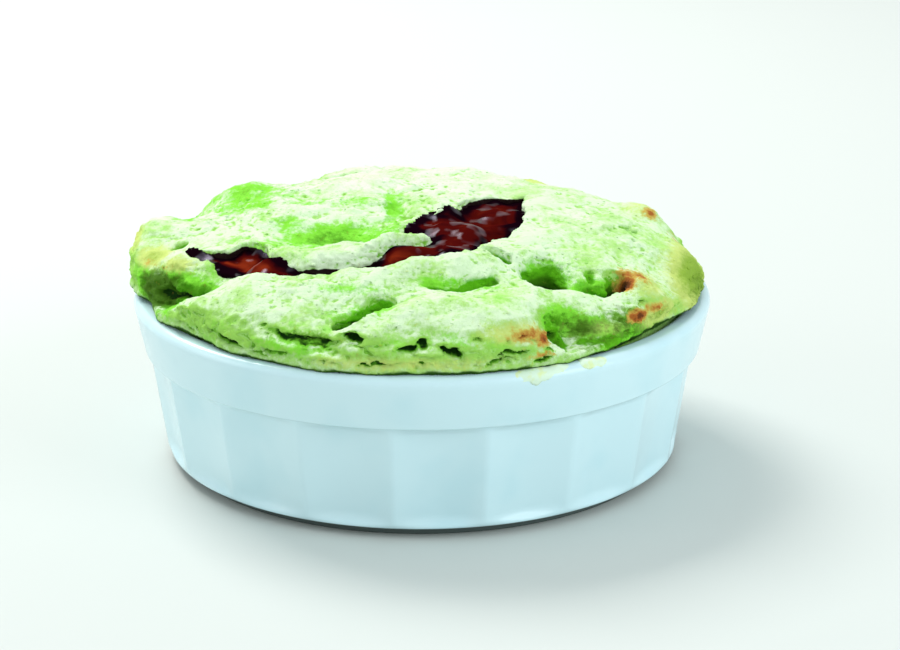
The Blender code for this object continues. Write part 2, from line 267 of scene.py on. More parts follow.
# %% [markdown]
# ## The crack
#
# The crust tore open while it rose, from the left shoulder round the front of the island and back
# to the middle. A Boolean would cut it with the same sharp edge all round. Here the crack's edge is
# a ring of points, each with the width over which the crust rolls into the crack: a wide roll reads
# as a soft lip, and a narrow one as a clean tear. A line down the middle of the crack says how far
# the sauce lies below the crust.

# %% The crack
# The middle of the crack: x, y and how far the sauce lies below the crust there.
SAUCE_LINE = (
    (-47.5, -12.0, 1.4), (-43.5, -16.0, 0.9), (-38.5, -20.0, 0.7), (-33.5, -22.8, 0.7), (-29.8, -27.0, 1.4),
    (-25.0, -29.8, 3.4), (-19.0, -31.2, 4.0), (-13.0, -31.2, 3.6), (-7.5, -27.8, 1.4), (-1.0, -22.2, 0.9),
    (5.0, -15.6, 0.8), (9.6, -8.0, 0.6), (13.0, -1.4, 0.6), (16.0, 4.6, 0.8), (18.0, 8.0, 1.4),
)
CRACK_DEPTH = 5.0 * MM
# The torn edge of the crust round the crack: x, y and how wide the edge is rolled over.
TORN_EDGE = (
    (-47.5, -12, 0.4), (-43, -14.2, 0.6), (-39, -15.5, 0.6), (-36.2, -12.4, 0.6),
    (-33.5, -14.5, 0.8), (-31.3, -18, 1.0), (-30.3, -22, 1.4), (-28, -25.4, 2.4), (-25, -27.0, 3.0),
    (-20, -28.4, 3.2), (-14, -28.6, 3.2), (-10, -27.2, 3.0), (-6, -24.6, 2.6), (-1, -20.8, 2.0),
    (2.5, -17.6, 1.2), (0.5, -13.5, 0.8), (-3.0, -8, 0.5), (0, -3.0, 0.5), (4, -2.0, 0.5),
    (7, -0.5, 0.4), (9, 5, 0.4), (13, 8.6, 0.4), (18, 8.6, 0.4), (22, 11, 0.4), (21.3, 5, 0.4),
    (20.6, -3, 0.5), (19.4, -11, 0.6), (17.2, -17, 0.9), (14.2, -17.2, 1.0), (12.6, -21.6, 1.2),
    (9.5, -27.4, 1.6), (3.5, -30.2, 1.8), (-4, -31.8, 2.0), (-10, -33.2, 2.0), (-14, -33.4, 2.0),
    (-20, -33.0, 1.8), (-26, -31.4, 1.6), (-30, -30.2, 1.4), (-33.5, -29.2, 1.4), (-37, -24.5, 1.2),
    (-41, -20.4, 1.0), (-44.5, -16.4, 0.8),
)
print("crack", len(SAUCE_LINE), "points, its torn edge", len(TORN_EDGE), "points")


# %% [markdown]
# ## Small tears and burst bubbles
#
# Smaller tears show green crumb under the pale skin, and burst bubbles leave round holes. Painted
# on, they would look flat from the side, so they are real hollows. A tear is a line with a half
# width and a depth, and a hole is an oval. Both fade at their ends, as dough that was pulled apart
# does.

# %% Small tears and burst bubbles
# Half width, depth and rounding of each tear in mm, then its line.
TEARS = {
    "left_gap": (1.7, 5.0, 1.2, ((-60, -17), (-52, -21.5), (-47, -24.8), (-42, -27.6), (-38, -29))),
    "flap_crevice": (1.4, 2.8, 1.0, ((-4, -44), (-7.5, -44.4), (-10.5, -46.5), (-13, -49), (-17, -50.5))),
    "lip_crevice": (0.9, 2.0, 1.0, ((0, -38.5), (5, -39.2), (8.5, -38.2), (11.5, -36), (15, -33))),
    "pool_tail": (0.8, 3.6, 0.8, ((11, -24), (15, -26), (19, -27.8))),
    "lobe_crack": (1.2, 3.0, 1.2, ((30, -32.3), (35, -32.0), (39, -29.8))),
    "lobe_gap": (0.9, 2.6, 1.2, ((29, -46), (35, -44), (42, -41), (49, -36))),
    "recess_fold": (1.2, 2.0, 1.4, ((24, -43), (27, -46), (31, -49))),
    "back_crack": (0.9, 2.2, 1.2, ((-31, 33), (-20, 36), (-8, 34), (2, 38))),
    "back_right_crack": (0.8, 2.0, 1.0, ((18, 38), (29, 27), (40, 25))),
    "back_left_tear": (0.8, 1.8, 1.0, ((-47, 30), (-40, 33), (-36, 40))),
}
# Centre x and y, radius across and along, turn in degrees and depth, in mm.
HOLES = {
    "steam_hole": (24.4, -30.2, 4.5, 5.4, 0, 10.0),
    "right_tear": (38.7, -28.9, 2.5, 2.4, 0, 8.0),
    "upper_pit": (42.6, -2.8, 1.7, 1.1, 0, 3.0),
    "lower_pit": (42.4, -9.2, 1.5, 0.9, 0, 2.0),
    "left_pit": (-49.6, -6.6, 2.4, 1.1, 20, 1.2),
    "side_pit": (33.6, -28.6, 1.4, 2.0, 20, 1.8),
}
print(len(TEARS), "tears and", len(HOLES), "holes")


# %% [markdown]
# ## Cut them in
#
# Where dough tears, its edge first rolls over and then drops. Each tear therefore lowers the height
# by a rounded shoulder and a wall, which costs far less than a cutter for each one. The edges are
# shifted by noise before the cut, so that no edge is even. What is returned with the height, the
# depth in a tear and the distance from the crack, drives colour and roughness later.

# %% Height of the torn crust
FINE_TEETH = 3.1 * MM
FINE_REACH = 0.55 * MM  # how far the torn edge's fine teeth reach
COARSE_TEETH = 7.5 * MM
COARSE_REACH = 0.9 * MM
# Where a wall starts and where it has dropped all the way, measured outwards from the edge.
CRACK_WALL = (0.3 * MM, -0.5 * MM)
TEAR_WALL = (0.8 * MM, -0.8 * MM)
HOLE_WALL = (0.28, 0.85)  # the same for a hole, by its oval's value, which is 1 in the middle
TAPER = 2.5  # a larger number gives a tear blunter ends
LEAST_TAPER = 0.15
NEARLY_LEVEL = 1e-12  # keeps a level stretch of the ring from dividing by zero


def rolled_drop(beyond, roll):
    """How far a rounded shoulder has dropped, from 0 on the crust to 1 roll at the tear's wall."""
    t = np.clip(1 - beyond / roll, 0, 1)
    return roll * (1 - np.sqrt(np.maximum(1 - t * t, 0)))


def beyond_edge(x, y):
    """Distance in plan outside the torn edge, negative inside it, and the edge's roll there."""
    table = np.array(TORN_EDGE)
    ring = np.concatenate([table, table[:1]])
    away, place = along_line(x, y, ring[:, :2])
    inside = np.zeros(x.shape, dtype=bool)
    # A point is inside where a line from it to the right crosses the ring an odd number of times.
    for (ax, ay), (bx, by) in zip(ring[:-1, :2] * MM, ring[1:, :2] * MM):
        crosses = (ay > y) != (by > y)
        inside ^= crosses & (x < (bx - ax) * (y - ay) / (by - ay + NEARLY_LEVEL) + ax)
    roll = np.interp(place, np.arange(len(ring)), ring[:, 2]) * MM
    return np.where(inside, -away, away), roll


def torn_crust(x, y):
    """Height above the rim with all tears, the depth in a tear, and the distance from the crack."""
    plan = np.stack([x, y], axis=1)
    ragged = FINE_REACH * noise(plan, FINE_TEETH, 3) + COARSE_REACH * noise(plan, COARSE_TEETH, 4)
    height = smooth_crust(x, y)
    sunk = np.zeros(x.shape)
    beyond, roll = beyond_edge(x, y)
    beyond = beyond + 0.7 * ragged
    wall = smooth_step(*CRACK_WALL, beyond)
    crack = wall * CRACK_DEPTH + (1 - wall) * rolled_drop(beyond, roll)
    for half, depth, roll, line in TEARS.values():
        away, place = along_line(x, y, line)
        taper = np.clip(np.minimum(place, len(line) - 1 - place) * TAPER, LEAST_TAPER, 1)
        aside = away - half * MM * taper + 0.8 * ragged
        wall = smooth_step(*TEAR_WALL, aside)
        tear = (wall * depth * MM + (1 - wall) * rolled_drop(aside, roll * MM) * 0.7) * taper
        sunk = np.maximum(sunk, tear)
    for *oval, depth in HOLES.values():
        core = blob(x + 0.4 * ragged, y - 0.4 * ragged, *oval)
        sunk = np.maximum(sunk, depth * MM * smooth_step(*HOLE_WALL, core))
    return height - np.maximum(sunk, crack), sunk, beyond


MID_CRACK = np.array([[12.0], [-4.0]]) * MM
print("the crack is", ((smooth_crust(*MID_CRACK) - torn_crust(*MID_CRACK)[0]) / MM).round(1), "mm deep")


# %% [markdown]
# ## Small mesh helpers
#
# A turned or skinned piece is a stack of rings of points, and one function joins them with faces. A
# piece's modifiers are applied by swapping in the evaluated mesh, because the operator that applies
# them depends on what is selected.

# %% Helpers for meshes
def new_piece(name, mesh):
    """An object at the origin that shows a mesh."""
    piece = bpy.data.objects.new(name, mesh)
    scene.collection.objects.link(piece)
    return piece


def ring_mesh(name, rings):
    """Skins a stack of rings, each an array of points; a ring of one point is a pole."""
    points = np.concatenate(rings)
    starts = np.cumsum([0] + [len(ring) for ring in rings])
    faces = []
    for lower, upper, a, b in zip(rings, rings[1:], starts, starts[1:]):
        count = max(len(lower), len(upper))
        for i in range(count):
            k = (i + 1) % count
            if len(lower) == 1:
                faces.append((a, b + i, b + k))
            elif len(upper) == 1:
                faces.append((a + i, b, a + k))
            else:
                faces.append((a + i, b + i, b + k, a + k))
    mesh = bpy.data.meshes.new(name)
    mesh.from_pydata(points.tolist(), [], faces)
    return mesh


def face_out(mesh):
    """Turns every face of a closed mesh outwards."""
    shape = bmesh.new()
    shape.from_mesh(mesh)
    bmesh.ops.recalc_face_normals(shape, faces=shape.faces)
    shape.to_mesh(mesh)
    shape.free()
    mesh.update()


def baked(piece):
    """Applies every modifier of a piece by swapping in its evaluated mesh."""
    graph = bpy.context.evaluated_depsgraph_get()
    mesh = bpy.data.meshes.new_from_object(piece.evaluated_get(graph))
    piece.modifiers.clear()
    old = piece.data
    piece.data = mesh
    bpy.data.meshes.remove(old)
    mesh.name = piece.name
    return mesh


# %% [markdown]
# ## Skin of the souffle
#
# The real souffle is one spongy mass that fills the dish and lies a little over the rim. A square
# grid would be ragged at the round edge, so the body is skinned in rings: from the crown out to the
# edge, round the edge, back along its underside and down into the dish. It goes a little below the
# rim and is closed there, because nothing below that shows.

# %% The risen body
BODY_RINGS = 170
BODY_STEPS = 640
BODY_VOXEL = 0.41 * MM
BODY_CUT = RIM_TOP - 2.6 * MM
BODY_FOOT = RIM_TOP - 5 * MM
WALL = 4.8 * MM
INNER_RADIUS = RIM_RADIUS - WALL - GAP
LUMP = 8.0 * MM
LUMP_RELIEF = 0.75 * MM
SMALL_LUMP = 0.45  # of a lump
SMALL_LUMP_RELIEF = 0.4 * MM
EDGE_WAVER = 0.7 * MM  # how far the edge wanders out and in
EDGE_WAVES = 0.16  # of the radius
LIFT_WAVER = 0.35 * MM
LIFT_WAVES = 0.12
LIP_PRESS = 0.5 * MM  # how far the crust's lip is pressed into the rim
# The lip's rounding: how far out in mm, and the share of the way from its top to its underside.
LIP_ROUND = ((0.5, 0.25), (0.6, 0.5), (0.3, 0.8))
LIP_IN = 0.8 * MM  # how far its underside lies inside its edge


def body_rings():
    """Rings from the crown out to the edge, round it and down into the dish."""
    angle = np.linspace(0, TURN, BODY_STEPS, endpoint=False)
    round_dish = np.stack([np.cos(angle), np.sin(angle)], axis=1)
    edge = crust_edge(np.degrees(angle)) + EDGE_WAVER * noise(round_dish, EDGE_WAVES, 11)
    lift = edge_lift(np.degrees(angle)) + LIFT_WAVER * np.maximum(noise(round_dish, LIFT_WAVES, 12), 0)
    rings = []
    for share in np.linspace(0, 1, BODY_RINGS) ** 0.9:
        x, y = (round_dish * (edge * share)[:, None]).T
        plan = np.stack([x, y], axis=1)
        height, *_ = torn_crust(x, y)
        height += LUMP_RELIEF * noise(plan, LUMP, 21)
        height += SMALL_LUMP_RELIEF * noise(plan, LUMP * SMALL_LUMP, 22)
        z = RIM_TOP + np.maximum(height, CRUST_EDGE + lift)
        rings.append(np.stack([x, y, z], axis=1))
    rings[0] = rings[0][:1]
    under = RIM_TOP + lift - LIP_PRESS
    top = rings[-1][:, 2]
    for out, drop in LIP_ROUND:
        ring = round_dish * (edge + out * MM)[:, None]
        rings.append(np.column_stack([ring, top + (under - top) * drop]))
    rings.append(np.column_stack([round_dish * (edge - LIP_IN)[:, None], under]))
    neck = np.minimum(INNER_RADIUS, edge - LIP_IN - lift)
    rings.append(np.column_stack([round_dish * neck[:, None], RIM_TOP + 0.2 * lift]))
    low = np.full(BODY_STEPS, BODY_FOOT)
    rings.append(np.column_stack([round_dish * (INNER_RADIUS - 0.5 * MM), low]))
    rings.append(np.array([[0, 0, BODY_FOOT]]))
    return rings


print("body of", BODY_RINGS, "rings, each of", BODY_STEPS, "points")


# %% [markdown]
# ## Even faces
#
# Rings give long thin faces on steep walls and tiny ones at the crown, and subdividing would keep
# that. A voxel remesh turns the skin into even faces of 0.4 mm instead, small enough to carry the
# crumb as real relief. What lies deep in the dish is cut off and closed.

# %% Skin the body and even out its faces
souffle = new_piece("souffle_crust", ring_mesh("souffle_crust", body_rings()))
face_out(souffle.data)
remesh = souffle.modifiers.new("even_faces", "REMESH")
remesh.mode = "VOXEL"
remesh.voxel_size = BODY_VOXEL
remesh.use_smooth_shade = True
baked(souffle)
shape = bmesh.new()
shape.from_mesh(souffle.data)
geometry = shape.verts[:] + shape.edges[:] + shape.faces[:]
cut_at = (0, 0, BODY_CUT)
bmesh.ops.bisect_plane(shape, geom=geometry, plane_co=cut_at, plane_no=(0, 0, -1), clear_outer=True)
bmesh.ops.holes_fill(shape, edges=[e for e in shape.edges if e.is_boundary])
shape.to_mesh(souffle.data)
shape.free()
souffle.data.shade_smooth()
print("souffle", len(souffle.data.polygons), "faces")


# %% [markdown]
# ## The steep side
#
# On its steep side the crust flakes in layers, with slots between them where steam got out. A
# height over the plan can't make an overhang, so these are dug sideways into the finished skin.
# Each row is a slot placed by compass angle and height above the rim.

# %% Holes and layers of the steep side
# Compass angle, height above the rim, half width and half height, tilt in degrees and depth, in mm.
SIDE_HOLES = {
    "lobe_slot": (202.0, 4.4, 4.2, 0.9, 2, 3.2),
    "front_left": (256.4, 6.2, 2.6, 0.6, -8, 2.6),
    "left_furrow": (246.0, 5.2, 7.5, 0.8, -4, 1.4),
    "left_furrow_slit": (250.0, 5.6, 3.4, 0.5, -6, 2.4),
    "left_furrow_low": (250.5, 4.2, 5.0, 0.6, -8, 0.7),
    "left_slot": (230.5, 2.8, 3.6, 0.7, -8, 2.4),
    "front_slot": (267.6, 4.6, 2.2, 0.7, 10, 2.2),
    "front_pit": (270.6, 5.2, 1.1, 0.6, 10, 1.6),
    "front_tear": (276.0, 4.2, 2.4, 0.8, -22, 2.6),
    "foot_slot": (238.0, 1.6, 2.2, 0.4, 0, 1.2),
    "low_left": (242.0, 2.6, 3.5, 0.35, -5, 1.0),
    "low_middle": (262.0, 1.8, 4.5, 0.35, 2, 1.0),
    "low_front": (284.0, 2.0, 4.0, 0.35, 5, 1.0),
    "right_flake": (288.0, 3.4, 3.5, 0.4, 8, 1.2),
    "right_flake_low": (293.0, 1.4, 3.0, 0.4, 4, 1.2),
}
print(len(SIDE_HOLES), "slots and holes in the steep side")


# %% [markdown]
# ## Points as arrays
#
# Points can be moved one at a time, but a loop over a hundred thousand of them is slow, so a mesh
# is read and written as whole arrays. An attribute keeps one number for each point, as if the piece
# carried a note there, and trees and materials can read it by its name.

# %% Helpers for points
def points_of(mesh):
    """The mesh's points as an array of rows."""
    flat = np.empty(len(mesh.vertices) * 3)
    mesh.vertices.foreach_get("co", flat)
    return flat.reshape(-1, 3)


def set_points(mesh, points):
    """Writes moved points back to the mesh."""
    mesh.vertices.foreach_set("co", np.ascontiguousarray(points, dtype=float).ravel())
    mesh.update()


def normals_of(mesh):
    """The points' normals as an array of rows."""
    flat = np.empty(len(mesh.vertices) * 3)
    mesh.vertex_normals.foreach_get("vector", flat)
    return flat.reshape(-1, 3)


def store(mesh, name, values):
    """Keeps one number for each point of a mesh, which a material can read."""
    attribute = mesh.attributes.new(name, "FLOAT", "POINT")
    attribute.data.foreach_set("value", np.ascontiguousarray(values, dtype=np.float32))


print("souffle", points_of(souffle.data).shape[0], "points")


# %% [markdown]
# ## Dig
#
# Each point is pushed inwards by how deep it lies in a slot, which leaves softer walls than a
# Boolean would. The digging is limited to the steep faces that look outwards, so the thin lip on
# the rim isn't eaten away. Thirty small pits are thrown in with a fixed seed, and the flaky layers
# are the narrow lines where a noise that is stretched sideways crosses zero.

# %% Dig the side
SIDE_RADIUS = 46 * MM
LAYER_DEPTH = 0.56 * MM
LAYER_STRETCH = 3.2
SMALL_PITS = 30
# Least and most for a small pit, in the same six numbers as a row of the table.
PIT_LEAST = (205, 1.4, 0.4, 0.2, -22, 0.8)
PIT_MOST = (330, 7.0, 1.8, 0.34, 22, 0.8)
mesh = souffle.data
points = points_of(mesh)
x, y, z = points.T
radius = np.hypot(x, y)
angle = np.degrees(np.arctan2(y, x)) % 360
rise = z - RIM_TOP
outwards = np.column_stack([x / np.maximum(radius, MM), y / np.maximum(radius, MM), np.zeros(len(x))])
steep = smooth_step(SIDE_RADIUS, SIDE_RADIUS + 6 * MM, radius) * smooth_step(0.6 * MM, 1.4 * MM, rise)
facing = normals_of(mesh)[:, 2]
steep *= smooth_step(0.92, 0.7, facing) * smooth_step(-0.5, 0.0, facing)
on_side = np.column_stack([np.radians(angle) * RIM_RADIUS, rise])
ragged = 0.45 * MM * noise(points, 1.4 * MM, 41) + 0.5 * MM * noise(points, 3.2 * MM, 43)
small_pits = np.random.default_rng(44).uniform(PIT_LEAST, PIT_MOST, (SMALL_PITS, len(PIT_LEAST)))
dug = np.zeros(len(x))
for at, up, half, tall, tilt, depth in (*SIDE_HOLES.values(), *small_pits):
    u = (np.radians(angle - at) * RIM_RADIUS) / MM
    v = (rise + ragged) / MM - up
    cosine, sine = math.cos(math.radians(tilt)), math.sin(math.radians(tilt))
    reach = np.hypot((u * cosine + v * sine) / half, (v * cosine - u * sine) / tall)
    dug = np.maximum(dug, depth * MM * smooth_step(1.25, 0.6, reach))
on_side[:, 0] /= LAYER_STRETCH
on_side[:, 1] += 0.5 * ragged
layers = np.abs(noise(on_side, 1.5 * MM, 42))
low = smooth_step(7.5 * MM, 4.0 * MM, rise)
dug = (dug + LAYER_DEPTH * (1 - smooth_step(0.0, 0.28, layers)) * low) * steep
set_points(mesh, points - outwards * dug[:, None])
store(mesh, "side_dug", dug)
print("side dug by up to", round(dug.max() / MM, 2), "mm")


# %% [markdown]
# ## Nodes
#
# A node tree is a recipe: each node takes numbers or colours and hands new ones on. It can be drawn
# in the editor, but written out it can be read and changed like the rest of the script. One
# function adds any kind of node and links what it is given, so a tree reads like a list of steps.
# Colours are written as sRGB hex and turned to linear numbers by one function.

# %% Helpers for node trees and colours
MATH = "ShaderNodeMath"
VECTOR = "ShaderNodeVectorMath"


def linear(code):
    """A colour written as sRGB hex, turned to the linear numbers that Blender works in."""
    parts = [int(code[i : i + 2], 16) / 255 for i in (1, 3, 5)]
    return (*[c / 12.92 if c <= 0.04045 else ((c + 0.055) / 1.055) ** 2.4 for c in parts], 1.0)


def add(tree, kind, *inputs, by_name=(), **settings):
    """Adds one node and returns its outputs.

    Inputs go in the node's own order, or by name or number in a dictionary. Each is a value, one
    output of another node, or all its outputs, of which the first is used.
    """
    node = tree.nodes.new(kind)
    for name, value in settings.items():
        setattr(node, name, value)
    for place, value in [*enumerate(inputs), *dict(by_name).items()]:
        if isinstance(value, bpy.types.bpy_prop_collection):
            value = value[0]
        if isinstance(value, bpy.types.NodeSocket):
            tree.links.new(value, node.inputs[place])
        elif value is not None:
            node.inputs[place].default_value = value
    return node.outputs


def principled(name, colour, **values):
    """A material, its tree and its Principled shader, with the shader's own sockets set.

    The colour shows only until a node is linked to it.
    """
    material = bpy.data.materials.new(name)
    material.use_nodes = True
    shader = material.node_tree.nodes["Principled BSDF"]
    shader.inputs["Base Color"].default_value = linear(colour)
    for socket, value in values.items():
        shader.inputs[socket.replace("_", " ")].default_value = value
    return material, material.node_tree, shader


def layered(tree, base, layers):
    """Lays colours over a base colour: each layer is a hex colour, a mask and the mask's range."""
    for colour, mask, low, high in layers:
        amount = add(tree, "ShaderNodeMapRange", mask, low, high, interpolation_type="SMOOTHSTEP")
        base = add(tree, "ShaderNodeMix", amount, by_name={6: base, 7: linear(colour)}, data_type="RGBA")[2]
    return base


print("mid grey in linear numbers", round(linear("#808080")[0], 3))


# %% [markdown]
# ## Crust material
#
# Baked egg sponge is dry and full of tiny bubbles. It scatters light and has hardly any highlight,
# so its roughness is high and its specular level low, with an IOR of 1.4, between those of water
# and fat. A picture wrapped round the crust would smear in its folds, so the colour comes from
# noise and from masks kept on the points. The noise works in metres on Object coordinates: blotches
# 9 mm wide, specks and bubbles of 1.3 mm, and 0.9 mm for the grain of the bump. The sponge's own
# bubbles are finer, and the grain is drawn as coarse as it needs to show. It gives the eye a dry,
# freckled skin.

# %% Crust material
crust, tree, shader = principled(
    "baked_pistachio_crust",
    "#bdeb9c",
    Roughness=0.85,
    IOR=1.4,
    Specular_IOR_Level=0.25,
)
place = add(tree, "ShaderNodeTexCoord")["Object"]
MASKS = ("torn", "cavity", "depth", "dull", "gold", "toast", "stain", "side", "shade", "dry")
mask = {key: add(tree, "ShaderNodeAttribute", attribute_name=key)["Fac"] for key in MASKS}
coarse = {"Scale": 1 / (9 * MM), "Detail": 5.0, "Roughness": 0.62}
patches = add(tree, "ShaderNodeTexNoise", place, by_name=coarse)
fine = {"Scale": 1 / (1.3 * MM), "Detail": 5.0, "Roughness": 0.7}
specks = add(tree, "ShaderNodeTexNoise", place, by_name=fine)
flecks = add(tree, MATH, specks, 0.5, operation="SUBTRACT")
mottle = add(tree, MATH, patches, 0.5, operation="SUBTRACT")
for key, amount in (("torn", 1.5), ("side", 0.9), ("dull", 1.4), ("gold", 0.8), ("toast", 1.5)):
    mask[key] = add(tree, MATH, flecks, amount, mask[key], operation="MULTIPLY_ADD")
mask["torn"] = add(tree, MATH, mottle, 2.2, mask["torn"], operation="MULTIPLY_ADD")
mask["pale"] = add(tree, MATH, flecks, 0.5, patches, operation="MULTIPLY_ADD")
drift = add(tree, VECTOR, specks["Color"], by_name={"Scale": 0.8 * MM}, operation="SCALE")
drifted = add(tree, VECTOR, place, drift, operation="ADD")
froth = add(tree, "ShaderNodeTexVoronoi", drifted, by_name={"Scale": 1 / (1.3 * MM)})
luck = add(tree, "ShaderNodeSeparateXYZ", froth["Color"])
luck = add(tree, MATH, luck, 0.9, -0.62, operation="MULTIPLY_ADD", use_clamp=True)
bubble = add(tree, MATH, luck, froth["Distance"], operation="SUBTRACT")
mask["bubble"] = add(tree, MATH, bubble, 5.0, operation="MULTIPLY", use_clamp=True)
print("crust masks", len(tree.nodes), "nodes")


# %% [markdown]
# ## Colours of the crust
#
# The skin is vivid green where it tore, and tips that came near the heat turned golden and then
# brown. Light and shade are painted on too: the level tops are paler, and hollows, folds and the
# steep side are greener and darker. One ramp over one noise couldn't tell a pale crown from a torn
# hollow, so the colours are laid over each other in order, each with its own mask, and the crack's
# walls are darkened last, by the sauce's stain and by painted shade.

# %% Colours of the crust
PALE_SKIN = "#daf1c8"
# Colour, the mask it goes by, and the mask's numbers where it starts and where it covers fully.
CRUST_LAYERS = (
    ("#b4e085", "pale", 0.42, 0.64),
    # Painted shade: greener and darker on the steep side.
    ("#9ad25a", "side", 0.15, 0.9),
    # Painted shade: greener and darker in hollows.
    ("#a9dc76", "cavity", 0.15, 0.7),
    ("#7fc03f", "cavity", 0.7, 1.3),
    # Painted light: paler on the level tops.
    ("#e9f7dd", "dry", 0.0, 1.0),
    # Painted shade: darker green in small bubble pores.
    ("#8cc45e", "bubble", 0.1, 1.0),
    ("#84dc38", "torn", 0.2, 0.85),
    # Painted shade: the darker green where torn spots are strongest, as on the lobe's face.
    ("#4f980c", "torn", 0.9, 1.6),
    ("#c8da76", "gold", 0.1, 0.7),
    ("#8fb23c", "gold", 0.6, 1.2),
    ("#5fb410", "depth", 0.03, 0.2),
    # Painted shade: darker in deep hollows and nearly black in the dug slots.
    ("#4f8e18", "cavity", 1.5, 2.1),
    # Painted shade: darker, then nearly black, towards the bottom of tears and holes.
    ("#3d7600", "depth", 0.32, 0.58),
    # Painted shade: darker olive.
    ("#44700f", "dull", 0.2, 1.1),
    ("#123c02", "cavity", 2.0, 3.0),
    ("#0c2602", "depth", 0.58, 0.85),
    ("#2c5406", "shade", 0.05, 0.8),
    ("#c9ab4c", "toast", 0.15, 0.55),
    ("#ab6226", "toast", 0.45, 0.9),
    ("#693814", "toast", 0.9, 1.3),
    # Nearly black, reached mainly deep in the right tear's hole.
    ("#2a1206", "toast", 1.5, 1.9),
    # Sauce stain and painted shade on the crack's walls.
    ("#1c0405", "stain", 0.35, 0.65),
)
layers = [(code, mask[key], low, high) for code, key, low, high in CRUST_LAYERS]
colour = layered(tree, linear(PALE_SKIN), layers)
tree.links.new(colour, shader.inputs["Base Color"])
finest = {"Scale": 1 / (0.9 * MM), "Detail": 6.0, "Roughness": 0.7}
grain = add(tree, "ShaderNodeTexNoise", place, by_name=finest)
grain = add(tree, MATH, grain, mask["bubble"], operation="SUBTRACT")
bump = add(tree, "ShaderNodeBump", 0.8, 0.5 * MM, by_name={"Height": grain})
tree.links.new(bump[0], shader.inputs["Normal"])
print("crust with its colours", len(tree.nodes), "nodes")


# %% [markdown]
# ## Swellings with creases
#
# Risen dough has rounded swellings with narrow creases between them, where plain noise has hills
# and valleys alike. A noise without its sign, softened near zero, gives just this look: zero is the
# crease.

# %% Crumb of the crust
CREASE = 0.07  # a larger number gives softer creases


def billow(tree, place, size, seed, detail):
    """A pattern of rounded swellings with soft creases between them, about one size apart."""
    scale = add(tree, MATH, 1.0, size, operation="DIVIDE")
    texture = add(
        tree,
        "ShaderNodeTexNoise",
        place,
        by_name={"W": seed, "Scale": scale, "Detail": detail, "Roughness": 0.5},
        noise_dimensions="4D",
    )
    centred = add(tree, MATH, texture, 2.0, -1.0, operation="MULTIPLY_ADD")
    squared = add(tree, MATH, centred, centred, CREASE * CREASE, operation="MULTIPLY_ADD")
    return add(tree, MATH, add(tree, MATH, squared, operation="SQRT"), CREASE, operation="SUBTRACT")


print("softness of the creases", CREASE)


# %% [markdown]
# ## Trees that make shapes
#
# A Geometry Nodes tree changes a mesh as a modifier does. Its named inputs are the knobs that
# someone who reuses it turns, and a script turns them by the identifier of the input's socket. Each
# tree ends the same way, so one function writes that end: instances are made real, and the material
# is set. Another runs the tree on a piece and keeps the result as plain mesh.

# %% Helpers for Geometry Nodes
def new_tree(name, **sockets):
    """A Geometry Nodes tree and the outputs of its Group Input; inputs are given as Name="Kind"."""
    tree = bpy.data.node_groups.new(name, "GeometryNodeTree")
    tree.interface.new_socket("Geometry", in_out="OUTPUT", socket_type="NodeSocketGeometry")
    tree.interface.new_socket("Geometry", in_out="INPUT", socket_type="NodeSocketGeometry")
    for label, kind in sockets.items():
        tree.interface.new_socket(label.replace("_", " "), in_out="INPUT", socket_type="NodeSocket" + kind)
    return tree, add(tree, "NodeGroupInput")


def finish_tree(tree, geometry, material):
    """Ends a tree: instances made real, material set, result out."""
    real = add(tree, "GeometryNodeRealizeInstances", geometry)
    add(tree, "NodeGroupOutput", add(tree, "GeometryNodeSetMaterial", real, by_name={"Material": material}))


def use_tree(piece, tree, **values):
    """Runs a tree on a piece, with each input set by its socket's identifier."""
    modifier = piece.modifiers.new(tree.name, "NODES")
    modifier.node_group = tree
    ids = {item.name: item.identifier for item in tree.interface.items_tree if item.in_out == "INPUT"}
    for name, value in values.items():
        modifier[ids[name.replace("_", " ")]] = value
    return baked(piece)


print(len(bpy.data.node_groups), "trees so far")


# %% [markdown]
# ## A tree that roughens a crust
#
# The real crust is rough at every size, from lumps as wide as a finger down to single crumbs. A
# stack of Displace modifiers could do it, but a tree keeps the sizes together under named inputs.
# It pushes each point along its normal by lumps, folds, crumb and grain, four sizes of the same
# roughness, and presses in pores. Every size and height is an input in metres, so another baked
# crust can use the same tree.

# %% A tree that roughens a crust
FLATTER = (1.0, 1.0, 1.8)  # a larger third number gives flatter lumps
WARP = 9 * MM
WARP_REACH = 8 * MM  # how far the pattern is drawn out of line, so that no row of lumps shows
tree, given = new_tree(
    "baked_crumb",
    Lump_Size="Float",
    Lump_Height="Float",
    Fold_Size="Float",
    Fold_Height="Float",
    Crumb_Size="Float",
    Crumb_Height="Float",
    Grain_Size="Float",
    Grain_Height="Float",
    Pore_Spacing="Float",
    Pore_Depth="Float",
    Swell="Float",
    Seed="Float",
    Skin="Material",
)
place = add(tree, "GeometryNodeInputPosition")
flat = add(tree, VECTOR, place, FLATTER, operation="MULTIPLY")
warp = add(tree, "ShaderNodeTexNoise", place, by_name={"Scale": 1 / WARP, "Detail": 1.0})["Color"]
warp = add(tree, VECTOR, warp, (0.5, 0.5, 0.5), operation="SUBTRACT")
warp = add(tree, VECTOR, warp, by_name={"Scale": WARP_REACH}, operation="SCALE")
flat = add(tree, VECTOR, flat, warp, operation="ADD")
lumps = billow(tree, flat, given["Lump Size"], given["Seed"], 1.0)
crumb_scale = add(tree, MATH, 1.0, given["Crumb Size"], operation="DIVIDE")
crumb_look = {"Scale": crumb_scale, "Detail": 3.0, "Roughness": 0.6}
crumb = add(tree, "ShaderNodeTexNoise", flat, by_name=crumb_look)
crumb = add(tree, MATH, crumb, 0.5, operation="SUBTRACT")
folds = billow(tree, flat, given["Fold Size"], given["Seed"], 2.0)
grain_scale = add(tree, MATH, 1.0, given["Grain Size"], operation="DIVIDE")
